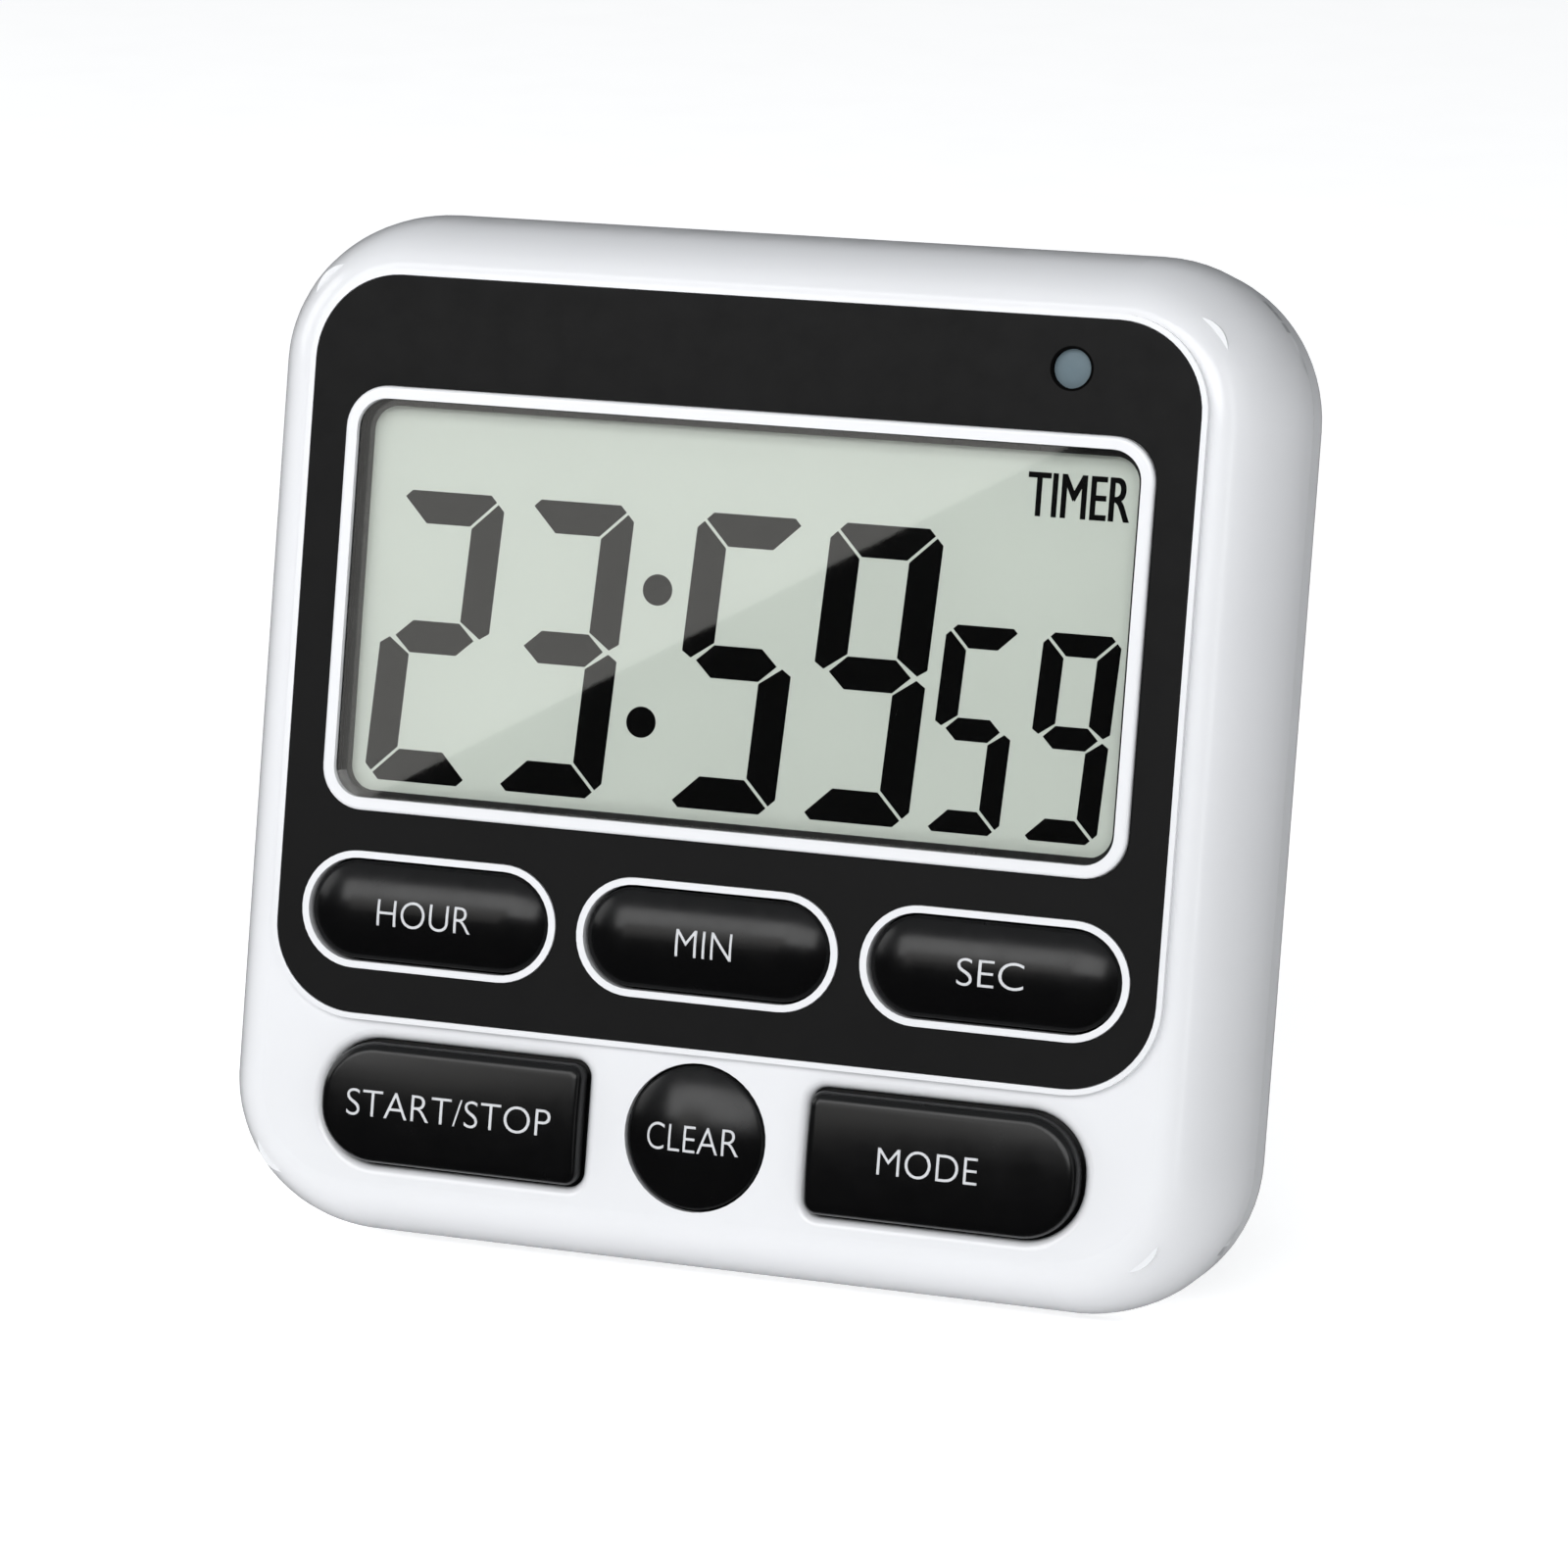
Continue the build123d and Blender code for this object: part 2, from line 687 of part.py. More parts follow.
# ---------------------------------------------------------------- keys and keypad
key_nodes = {}
for name, place in key_places.items():
    with BuildPart() as key:
        if place[1] == top_row_z:
            # bar with a domed top: a rounded section along the middle, turned at both ends
            straight = (top_key_length - top_key_height) / 2
            half_section = top_key_height / 2
            with BuildSketch(across(place[0])) as dome:
                with BuildLine():
                    side_low = (top_key_edge, place[1] - half_section)
                    side_high = (top_key_edge, place[1] + half_section)
                    ThreePointArc(side_low, (top_key_edge - top_key_rise, place[1]), side_high)
                    foot_high = (flange_front, place[1] + half_section)
                    Line(side_high, foot_high)
                    foot_low = (flange_front, place[1] - half_section)
                    Line(foot_high, foot_low)
                    Line(foot_low, side_low)
                make_face()
            extrude(amount=straight, both=True)
            for end in (-straight, straight):
                centre = place[0] + end
                with BuildSketch(across(centre)):
                    with BuildLine():
                        tip = (top_key_edge - top_key_rise, place[1])
                        side_high = (top_key_edge, place[1] + half_section)
                        sagitta_radius = (half_section**2 + top_key_rise**2) / (2 * top_key_rise)
                        RadiusArc(tip, side_high, sagitta_radius)
                        Line(side_high, (flange_front, place[1] + half_section))
                        Line((flange_front, place[1] + half_section), (flange_front, place[1]))
                        Line((flange_front, place[1]), tip)
                    make_face()
                revolve(axis=Axis((centre, 0, place[1]), (0, 1, 0)))
        elif name == "clear_key":
            sphere_radius = (clear_key_radius**2 + clear_key_crown**2) / (2 * clear_key_crown)
            edge_depth = clear_key_crown - low_key_proud
            with BuildSketch(across(place[0])):
                with BuildLine():
                    tip = (-low_key_proud, place[1])
                    side_high = (edge_depth, place[1] + clear_key_radius)
                    RadiusArc(tip, side_high, sphere_radius)
                    Line(side_high, (flange_front, place[1] + clear_key_radius))
                    Line((flange_front, place[1] + clear_key_radius), (flange_front, place[1]))
                    Line((flange_front, place[1]), tip)
                make_face()
            revolve(axis=Axis((place[0], 0, place[1]), (0, 1, 0)))
        else:
            with BuildSketch(at_depth(flange_front)):
                with Locations(place):
                    add(key_outline(name, 0))
            extrude(amount=flange_front + low_key_proud)
            top = key.faces().sort_by(Axis.Y)[0]
            fillet(top.edges(), low_key_crown)
        with BuildSketch(at_depth(flange_back)):
            with Locations(place):
                add(key_outline(name, key_flange))
        extrude(amount=key_flange_thickness)
        with BuildSketch(at_depth(dome_front - rest_gap)):
            with Locations(place):
                if name == "clear_key":
                    Circle(plunger_radius)
                else:
                    RectangleRounded(plunger_length, plunger_height, plunger_corner)
        extrude(amount=dome_front - rest_gap - flange_back)
    key.part.label = name
    key_nodes[name] = key

with BuildPart() as keypad_mat:
    mat_middle = (mat_span[0] + mat_span[1]) / 2
    with BuildSketch(at_depth(board_depth - rest_gap)):
        with Locations((0, mat_middle)):
            RectangleRounded(2 * mat_half_width, mat_span[1] - mat_span[0], dome_base_radius)
    extrude(amount=mat_thickness)
    for place in key_places.values():
        for outward, mode in ((0.0, Mode.ADD), (dome_skin, Mode.SUBTRACT)):
            floor = mat_front if mode == Mode.ADD else board_depth
            with BuildSketch(at_depth(floor)):
                with Locations(place):
                    Circle(dome_base_radius - outward)
            with BuildSketch(at_depth(dome_front + outward)):
                with Locations(place):
                    Circle(dome_top_radius - outward)
            loft(mode=mode)
    with BuildSketch(at_depth(board_depth - key_travel - pill_thickness - 2 * rest_gap)):
        with Locations(*key_places.values()):
            Circle(pill_radius)
    extrude(amount=board_depth - key_travel - pill_thickness - dome_front - dome_skin / 2)
keypad_mat.part.label = "keypad_mat"

pill_nodes = {}
for name, place in key_places.items():
    with BuildPart() as pill:
        with BuildSketch(at_depth(board_depth - key_travel - rest_gap)):
            with Locations(place):
                Circle(pill_radius)
        extrude(amount=pill_thickness)
    pill.part.label = name.replace("_key", "_contact_pill")
    pill_nodes[pill.part.label] = pill

# ---------------------------------------------------------------- circuit board and what it carries
with BuildPart() as circuit_board:
    with BuildSketch(at_depth(board_back)):
        with Locations((0, (board_bottom + board_top) / 2)):
            outline = Rectangle(2 * board_half_width, board_top - board_bottom)
        fillet(outline.vertices().group_by(Axis.Y)[0], board_corner)
        with Locations(*screw_places):
            Circle(post_radius + post_relief, mode=Mode.SUBTRACT)
        with Locations(*board_places):
            Circle(small_screw_radius + screw_play, mode=Mode.SUBTRACT)
    extrude(amount=board_thickness)
circuit_board.part.label = "circuit_board"

with BuildPart() as chip_cover:
    with BuildSketch(along(chip_place[1])):
        with BuildLine():
            rim = (chip_place[0] + chip_radius, board_back + rest_gap)
            crest = (chip_place[0], board_back + rest_gap + chip_rise)
            RadiusArc(rim, crest, -(chip_radius**2 + chip_rise**2) / (2 * chip_rise))
            Line(crest, (chip_place[0], board_back + rest_gap))
            Line((chip_place[0], board_back + rest_gap), rim)
        make_face()
    revolve(axis=Axis((chip_place[0], 0, chip_place[1]), (0, 1, 0)))
chip_cover.part.label = "chip_cover"

with BuildPart() as crystal:
    with BuildSketch(across(crystal_place[0])):
        with Locations((board_back + rest_gap + crystal_radius, crystal_place[1])):
            Circle(crystal_radius)
    extrude(amount=crystal_length)
    fillet(crystal.edges().filter_by(GeomType.CIRCLE), crystal_round)
crystal.part.label = "crystal"

with BuildPart() as board_components:
    with BuildSketch(at_depth(board_back + rest_gap + component_size[2])):
        with Locations(component_centre):
            with GridLocations(*component_pitch, 3, 2):
                Rectangle(component_size[0], component_size[1])
    extrude(amount=component_size[2])
board_components.part.label = "board_components"

# ---------------------------------------------------------------- lamp
with BuildPart() as indicator_lamp:
    with BuildSketch(along(lamp_z)):
        with BuildLine():
            shoulder = lamp_tip_depth + lamp_dome
            lens_radius = (lamp_radius**2 + lamp_dome**2) / (2 * lamp_dome)
            lens_top = (lamp_x, lamp_tip_depth)
            lens_side = (lamp_x + lamp_radius, shoulder)
            RadiusArc(lens_top, lens_side, lens_radius)
            Line(lens_side, (lamp_x + lamp_radius, lamp_back))
            Line((lamp_x + lamp_radius, lamp_back), (lamp_x, lamp_back))
            Line((lamp_x, lamp_back), lens_top)
        make_face()
    revolve(axis=Axis((lamp_x, 0, lamp_z), (0, 1, 0)))
    with BuildSketch(at_depth(lamp_back)):
        with Locations((lamp_x, lamp_z)):
            Circle(lamp_flange_radius)
    extrude(amount=lamp_flange_thickness)
indicator_lamp.part.label = "indicator_lamp"

# ---------------------------------------------------------------- rear of the case
pocket_half_width = door_half_length + door_gap
pocket_half_height = door_half_height + door_gap
ledge_face = door_front - fit_gap
recess_half_width = stand_width / 2 + stand_side_gap
recess_top = stand_hinge_height + stand_end + stand_side_gap
slot_half_length = (slider_neck[0] + slider_travel) / 2 + slider_slot_play
buzzer_front = rear_wall_inner - buzzer_seat - buzzer_thickness

with BuildPart() as rear_housing:
    add(case_solid(rear_step, rear_edge, back_depth, back_depth - rear_edge, rear_start))
    inner_edge = rear_edge - wall
    rear_inset = rear_step + wall
    add(
        case_solid(rear_inset, inner_edge, rear_wall_inner, rear_wall_inner - inner_edge, rear_start),
        mode=Mode.SUBTRACT,
    )
    fillet(rear_housing.faces().sort_by(Axis.Y)[0].outer_wire().edges(), seam_round)
    # lip that locates the front shell
    lip_inset = wall + fit_gap
    with BuildSketch(at_depth(rear_start + lip_reach)):
        with Locations((0, half_height)):
            RectangleRounded(
                2 * (half_width - lip_inset), 2 * (half_height - lip_inset), case_corner - lip_inset
            )
            RectangleRounded(
                2 * (half_width - lip_inset - lip_thickness),
                2 * (half_height - lip_inset - lip_thickness),
                case_corner - lip_inset - lip_thickness,
                mode=Mode.SUBTRACT,
            )
    extrude(amount=2 * lip_reach + seam_gap)
    # posts for the case screws
    with BuildSketch(at_depth(back_depth - wall / 2)):
        with Locations(*screw_places):
            Circle(post_radius)
    extrude(amount=back_depth - wall / 2 - boss_end - fit_gap)
    with BuildSketch(at_depth(back_depth)):
        with Locations(*screw_places):
            Circle(counterbore_radius)
    extrude(amount=back_depth - counterbore_floor, mode=Mode.SUBTRACT)
    with BuildSketch(at_depth(back_depth)):
        with Locations(*screw_places):
            Circle(case_screw_radius + 2 * screw_play)
    extrude(amount=back_depth - boss_end + wall, mode=Mode.SUBTRACT)
    # battery tub, with a rim round the door's pocket
    with BuildSketch(at_depth(rear_wall_inner)):
        with Locations((0, cell_height)):
            Rectangle(2 * (pocket_half_width + rim_wall), 2 * (pocket_half_height + rim_wall))
    extrude(amount=rear_wall_inner - ledge_face + ledge_thickness)
    with BuildSketch(at_depth(ledge_face)):
        with Locations((0, cell_height)):
            Rectangle(2 * (tub_half_length + tub_wall), 2 * (tub_half_height + tub_wall))
    extrude(amount=ledge_face - tub_front)
    with BuildSketch(at_depth(back_depth)):
        with Locations((0, cell_height)):
            RectangleRounded(2 * pocket_half_width, 2 * pocket_half_height, door_corner + door_gap)
    extrude(amount=back_depth - ledge_face, mode=Mode.SUBTRACT)
    with BuildSketch(at_depth(ledge_face)):
        with Locations((0, cell_height)):
            Rectangle(2 * tub_half_length, 2 * tub_half_height)
    extrude(amount=ledge_face - tub_front - tub_floor, mode=Mode.SUBTRACT)
    # pockets under the back wall for the door's tabs, and a finger notch above the door
    with BuildSketch(at_depth(door_front + tab_thickness + fit_gap)):
        for x in tab_places:
            with Locations((x, cell_height - pocket_half_height)):
                Rectangle(tab_width + 4 * door_gap, 2 * (tab_reach + door_gap))
    extrude(amount=tab_thickness + fit_gap + 2 * door_gap, mode=Mode.SUBTRACT)
    with BuildSketch(at_depth(back_depth)):
        with Locations((0, cell_height + pocket_half_height)):
            SlotOverall(notch_width, notch_height)
    extrude(amount=notch_depth, mode=Mode.SUBTRACT)
    # slots for the contacts' tails
    with BuildSketch(at_depth(cell_depth + tail_height / 2 + fit_gap)):
        with Locations((0, cell_height)):
            Rectangle(2 * (tub_half_length + 2 * tub_wall), contact_thickness + fit_gap)
    extrude(amount=tail_height + 2 * fit_gap, mode=Mode.SUBTRACT)
    # recess for the stand
    with BuildSketch(at_depth(rear_wall_inner)):
        with Locations((0, (recess_top + stand_cheek) / 2)):
            Rectangle(2 * (recess_half_width + stand_cheek), recess_top + stand_cheek)
        with Locations((0, 0)):
            Rectangle(2 * half_width, 2 * (rear_inset - wall / 2), mode=Mode.SUBTRACT)
    extrude(amount=rear_wall_inner - stand_floor_depth + stand_floor)
    with BuildSketch(at_depth(back_depth)):
        with Locations((0, recess_top / 2)):
            Rectangle(2 * recess_half_width, recess_top)
    extrude(amount=stand_recess, mode=Mode.SUBTRACT)
    with BuildSketch(across(-recess_half_width - stand_pin_length - fit_gap)):
        with Locations((stand_axis_depth, stand_hinge_height)):
            Circle(stand_pin_radius + stand_play)
    extrude(amount=2 * (recess_half_width + stand_pin_length + fit_gap), mode=Mode.SUBTRACT)
    # magnet pockets
    magnet_places = [(x, magnet_height) for x in (-magnet_x, magnet_x)]
    with BuildSketch(at_depth(rear_wall_inner)):
        with Locations(*magnet_places):
            Circle(magnet_radius + fit_gap + tub_wall)
    extrude(amount=rear_wall_inner - back_depth + magnet_sink + magnet_thickness + tub_wall)
    with BuildSketch(at_depth(back_depth)):
        with Locations(*magnet_places):
            Circle(magnet_radius + fit_gap)
    extrude(amount=magnet_sink + magnet_thickness + rest_gap, mode=Mode.SUBTRACT)
    # dishes and slots for the slide switches
    slider_places = [(x, slider_height) for x in (-slider_x, slider_x)]
    with BuildSketch(at_depth(back_depth)):
        with Locations(*slider_places):
            SlotOverall(slider_dish[0], slider_dish[1])
    extrude(amount=slider_dish_depth, mode=Mode.SUBTRACT)
    with BuildSketch(at_depth(back_depth)):
        with Locations(*slider_places):
            Rectangle(2 * slot_half_length, slider_neck[1] + 2 * slider_slot_play)
    extrude(amount=2 * wall, mode=Mode.SUBTRACT)
    # hanging hole
    hang_z = case_height - hang_drop
    with BuildSketch(at_depth(back_depth)):
        with Locations((0, hang_z)):
            Circle(hang_radius)
        with Locations((0, hang_z + hang_slot_rise / 2)):
            SlotOverall(hang_slot_rise + hang_slot, hang_slot, rotation=90)
    extrude(amount=2 * wall, mode=Mode.SUBTRACT)
    # buzzer seat and sound holes
    with BuildSketch(at_depth(rear_wall_inner)):
        with Locations((buzzer_x, buzzer_height)):
            Circle(buzzer_radius + fit_gap + buzzer_wall)
            Circle(buzzer_radius - buzzer_wall, mode=Mode.SUBTRACT)
    extrude(amount=buzzer_seat + 2 * buzzer_thickness)
    with BuildSketch(at_depth(rear_wall_inner - buzzer_seat)):
        with Locations((buzzer_x, buzzer_height)):
            Circle(buzzer_radius + fit_gap / 2)
    extrude(amount=2 * wall, mode=Mode.SUBTRACT)
    with BuildSketch(at_depth(back_depth)):
        with Locations((buzzer_x, buzzer_height)):
            Circle(sound_hole_radius)
            with PolarLocations(sound_hole_ring, 6):
                Circle(sound_hole_radius)
    extrude(amount=2 * wall, mode=Mode.SUBTRACT)
rear_housing.part.label = "rear_housing"

with BuildPart() as battery_door:
    with BuildSketch(at_depth(back_depth - magnet_sink)):
        with Locations((0, cell_height)):
            RectangleRounded(2 * door_half_length, 2 * door_half_height, door_corner)
    extrude(amount=door_thickness)
    outer_rim = battery_door.faces().sort_by(Axis.Y)[-1].edges()
    chamfer(outer_rim, grip_depth)
    # two tabs under the case's wall
    with BuildSketch(at_depth(door_front + tab_thickness)):
        for x in tab_places:
            with Locations((x, cell_height - door_half_height)):
                Rectangle(tab_width, 2 * tab_reach)
    extrude(amount=tab_thickness)
    # grip grooves
    with BuildSketch(at_depth(back_depth - magnet_sink)):
        with Locations((0, cell_height + grip_rise)):
            with GridLocations(0, grip_pitch, 1, 3):
                SlotOverall(notch_width, grip_width)
    extrude(amount=grip_depth, mode=Mode.SUBTRACT)
battery_door.part.label = "battery_door"

# ---------------------------------------------------------------- battery and its contacts
with BuildPart() as battery:
    with BuildSketch(across(cell_start)):
        with Locations((cell_depth, cell_height)):
            Circle(cell_radius)
    extrude(amount=cell_length - cell_nub_length)
    fillet(battery.edges().filter_by(GeomType.CIRCLE), cell_nub_length / 2)
    with BuildSketch(across(cell_start + cell_length - cell_nub_length)):
        with Locations((cell_depth, cell_height)):
            Circle(cell_nub_radius)
    extrude(amount=cell_nub_length)
battery.part.label = "battery"

with BuildPart() as battery_contact:
    with BuildSketch(across(tub_half_length - rest_gap - contact_thickness)):
        with Locations((cell_depth, cell_height)):
            Rectangle(contact_size, contact_size)
    extrude(amount=contact_thickness)
    with BuildSketch(across(cell_start + cell_length + rest_gap)):
        with Locations((cell_depth, cell_height)):
            Circle(cell_nub_radius)
    extrude(amount=contact_bump)
    with BuildSketch(at_depth(cell_depth + tail_height / 2)):
        with Locations((tub_half_length + tail_reach / 2 - contact_thickness, cell_height)):
            Rectangle(tail_reach, contact_thickness)
    extrude(amount=tail_height)
battery_contact.part.label = "battery_contact"

spring_start = -tub_half_length + rest_gap + contact_thickness
with BuildPart() as battery_spring:
    with BuildSketch(across(-tub_half_length + rest_gap)):
        with Locations((cell_depth, cell_height)):
            Rectangle(contact_size, contact_size)
    extrude(amount=contact_thickness)
    with BuildSketch(at_depth(cell_depth + tail_height / 2)):
        with Locations((-tub_half_length - tail_reach / 2 + contact_thickness, cell_height)):
            Rectangle(tail_reach, contact_thickness)
    extrude(amount=tail_height)
    spring_rise = cell_start - spring_start - 2 * spring_wire
    coil = Helix(
        pitch=spring_rise / spring_turns,
        height=spring_rise,
        radius=spring_radius,
        center=(spring_start + spring_wire - spring_bite, cell_depth, cell_height),
        direction=(1, 0, 0),
        mode=Mode.PRIVATE,
    )
    with BuildSketch(Plane(origin=coil @ 0, z_dir=coil % 0)):
        Circle(spring_wire)
    sweep(path=coil, is_frenet=True)
battery_spring.part.label = "battery_spring"

# ---------------------------------------------------------------- stand, magnets, buzzer
with BuildPart() as stand:
    with BuildSketch(across(-stand_width / 2)):
        with Locations((stand_axis_depth, stand_hinge_height - stand_length / 2)):
            SlotOverall(stand_length + stand_thickness, stand_thickness, rotation=90)
    extrude(amount=stand_width)
    # shallow panel in its outer face
    with BuildSketch(at_depth(stand_axis_depth + stand_end)):
        with Locations((0, stand_hinge_height - stand_length / 2)):
            RectangleRounded(
                stand_width - 2 * stand_frame, stand_length - 2 * stand_frame, stand_frame / 2
            )
    extrude(amount=stand_panel_depth, mode=Mode.SUBTRACT)
    with BuildSketch(across(-stand_width / 2 - stand_pin_length)):
        with Locations((stand_axis_depth, stand_hinge_height)):
            Circle(stand_pin_radius)
    extrude(amount=stand_width + 2 * stand_pin_length)
    rotate_about = Axis((0, stand_axis_depth, stand_hinge_height), (1, 0, 0))
stand.part = stand.part.rotate(rotate_about, stand_angle)
stand.part.label = "stand"

with BuildPart() as magnets:
    with BuildSketch(at_depth(back_depth - magnet_sink)):
        with Locations(*magnet_places):
            Circle(magnet_radius)
    extrude(amount=magnet_thickness)
    chamfer(magnets.faces().sort_by(Axis.Y)[-2:].edges(), grip_depth)
magnets.part.label = "magnets"

with BuildPart() as buzzer_plate:
    with BuildSketch(at_depth(rear_wall_inner - buzzer_seat - rest_gap)):
        with Locations((buzzer_x, buzzer_height)):
            Circle(buzzer_radius)
    extrude(amount=buzzer_thickness)
buzzer_plate.part.label = "buzzer_plate"

with BuildPart() as buzzer_ceramic:
    with BuildSketch(at_depth(buzzer_front - 2 * rest_gap)):
        with Locations((buzzer_x, buzzer_height)):
            Circle(ceramic_radius)
    extrude(amount=ceramic_thickness)
buzzer_ceramic.part.label = "buzzer_ceramic"

# ---------------------------------------------------------------- slide switches
with BuildPart() as switch_bodies:
    with BuildSketch(at_depth(board_back + rest_gap + switch_body[2])):
        with Locations(*slider_places):
            Rectangle(switch_body[0], switch_body[1])
    extrude(amount=switch_body[2])
    with BuildSketch(at_depth(board_back + rest_gap + switch_body[2])):
        with Locations(*slider_places):
            Rectangle(
                switch_lever[0] + slider_travel + 2 * slider_slot_play,
                switch_lever[1] + 2 * fit_gap,
            )
    extrude(amount=switch_body[2] / 2, mode=Mode.SUBTRACT)
switch_bodies.part.label = "switch_bodies"

lever_start = board_back + switch_body[2] / 2 + fit_gap
lever_end = board_back + switch_body[2] + switch_lever[2]
plate_rear = rear_wall_inner - fit_gap
plate_front = plate_rear - slider_plate[2]
fork_front = lever_end - fork_overlap
slider_nodes = {}
for name, side, rest_side in (("power", 1, 1), ("sound", -1, -1)):
    rest_x = side * slider_x + rest_side * slider_travel / 2
    with BuildPart() as slider:
        with BuildSketch(at_depth(plate_rear)):
            with Locations((rest_x, slider_height)):
                Rectangle(slider_plate[0], slider_plate[1])
        extrude(amount=slider_plate[2])
        with BuildSketch(at_depth(back_depth - slider_dish_depth + fit_gap)):
            with Locations((rest_x, slider_height)):
                Rectangle(slider_neck[0], slider_neck[1])
        extrude(amount=back_depth - slider_dish_depth + fit_gap - plate_front)
        knob_rear = back_depth - slider_dish_depth + fit_gap + slider_knob[2]
        with BuildSketch(at_depth(knob_rear)):
            with Locations((rest_x, slider_height)):
                RectangleRounded(slider_knob[0], slider_knob[1], slider_corner)
        extrude(amount=slider_knob[2])
        with BuildSketch(at_depth(knob_rear)):
            with Locations((rest_x, slider_height)):
                with GridLocations(slider_groove_pitch, 0, 3, 1):
                    Rectangle(grip_depth, slider_knob[1])
        extrude(amount=grip_depth, mode=Mode.SUBTRACT)
        with BuildSketch(at_depth(plate_front)):
            for offset in (-1, 1):
                leg = switch_lever[0] / 2 + slider_slot_play + fork_leg / 2
                with Locations((rest_x + offset * leg, slider_height)):
                    Rectangle(fork_leg, fork_width)
        extrude(amount=plate_front - fork_front)
    slider.part.label = f"{name}_slider"
    slider_nodes[slider.part.label] = slider
    with BuildPart() as lever:
        with BuildSketch(at_depth(lever_end)):
            with Locations((rest_x, slider_height)):
                Rectangle(switch_lever[0], switch_lever[1])
        extrude(amount=lever_end - lever_start)
    lever.part.label = f"{name}_switch_lever"
    slider_nodes[lever.part.label] = lever

# ---------------------------------------------------------------- fasteners and wires
with BuildPart() as case_screws:
    for place in screw_places:
        add(
            screw(
                place,
                pilot_start + wall,
                counterbore_floor + rest_gap,
                case_screw_radius,
                case_screw_head,
                case_screw_head_height,
            )
        )
case_screws.part.label = "case_screws"

with BuildPart() as board_screws:
    for places, seat in ((board_places, board_back), (ear_places, holder_rear)):
        for place in places:
            add(
                screw(
                    place,
                    inner_face + rest_gap,
                    seat + rest_gap,
                    small_screw_radius,
                    small_screw_head,
                    small_screw_head_height,
                )
            )
board_screws.part.label = "board_screws"

wire_end = board_back + rest_gap
tail_tip = tub_half_length + tail_reach - contact_thickness
with BuildPart() as battery_wires:
    for side in (-1, 1):
        x_start = side * (tail_tip - wire_radius)
        x_end = side * battery_wire_x
        add(
            wire(
                wire_bend,
                (x_start, cell_depth, cell_height - contact_thickness / 2 - rest_gap),
                (x_start, cell_depth, cell_height - 3 * wire_bend),
                (x_end, cell_depth - wire_bend, wire_board_height + 3 * wire_bend),
                (x_end, cell_depth - wire_bend, wire_board_height),
                (x_end, wire_end, wire_board_height),
            )
        )
battery_wires.part.label = "battery_wires"

with BuildPart() as lamp_wires:
    for step in (0, 1):
        x_start = lamp_x - wire_gap / 2 + step * wire_gap
        x_end = lamp_wire_x + step * wire_gap
        depth = board_back + lamp_wire_rise
        add(
            wire(
                wire_bend,
                (x_start, lamp_back + rest_gap, lamp_z),
                (x_start, depth, lamp_z),
                (x_end, depth, lamp_z - 3 * wire_bend),
                (x_end, depth, wire_board_height),
                (x_end, wire_end, wire_board_height),
            )
        )
lamp_wires.part.label = "lamp_wires"

with BuildPart() as buzzer_wires:
    for step in (-1, 1):
        x = buzzer_x + step * wire_gap
        start_depth = buzzer_front - 2 * rest_gap - ceramic_thickness - rest_gap
        add(
            wire(
                wire_bend,
                (x, start_depth, buzzer_height),
                (x, start_depth - 2 * wire_bend, buzzer_height),
                (x, start_depth - 2 * wire_bend, wire_board_height),
                (x, wire_end, wire_board_height),
            )
        )
buzzer_wires.part.label = "buzzer_wires"

# ---------------------------------------------------------------- set down on the table
pieces = [
    front_housing, panel_overlay, display_window, display_gasket, front_glass, rear_glass,
    reflector, display_holder, contact_strip, keypad_mat, circuit_board, chip_cover, crystal,
    board_components, indicator_lamp, rear_housing, battery_door, battery, battery_contact,
    battery_spring, stand, magnets, buzzer_plate, buzzer_ceramic, switch_bodies, case_screws,
    board_screws, battery_wires, lamp_wires, buzzer_wires,
]
pieces += list(key_nodes.values())
pieces += list(pill_nodes.values())
pieces += list(slider_nodes.values())

leaning = Location((0, 0, 0), (-lean, 0, 0))
corners = [(leaning * piece.part).bounding_box() for piece in pieces]
lowest = min(box.min.Z for box in corners)
middle = (min(box.min.Y for box in corners) + max(box.max.Y for box in corners)) / 2
placement = Location((0, -middle, -lowest)) * leaning

os.makedirs("parts", exist_ok=True)
for piece in pieces:
    label = piece.part.label
    piece.part = piece.part.moved(placement)
    piece.part.label = label
    export_step(piece.part, f"parts/{label}.step")
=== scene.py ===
import json
from math import atan2, cos, pi, radians, sin, sqrt

import bmesh
import bpy
from bpy.props import FloatProperty, FloatVectorProperty, PointerProperty
from mathutils import Matrix, Vector


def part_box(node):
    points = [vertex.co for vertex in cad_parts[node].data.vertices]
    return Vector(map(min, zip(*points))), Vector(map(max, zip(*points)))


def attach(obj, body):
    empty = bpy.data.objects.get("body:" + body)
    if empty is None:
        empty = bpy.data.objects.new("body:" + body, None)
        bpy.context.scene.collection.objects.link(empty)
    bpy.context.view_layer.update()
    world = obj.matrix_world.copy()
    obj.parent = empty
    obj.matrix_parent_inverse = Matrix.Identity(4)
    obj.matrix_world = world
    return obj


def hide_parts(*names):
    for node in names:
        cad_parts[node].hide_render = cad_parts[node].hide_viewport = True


bl_info = {
    "name": "Lab timer",
    "version": (1, 0, 0),
    "blender": (4, 5, 0),
    "location": "3D View > Sidebar > Timer",
    "description": "Finishes a leaning countdown timer round its fixed frame",
    "category": "Object",
}

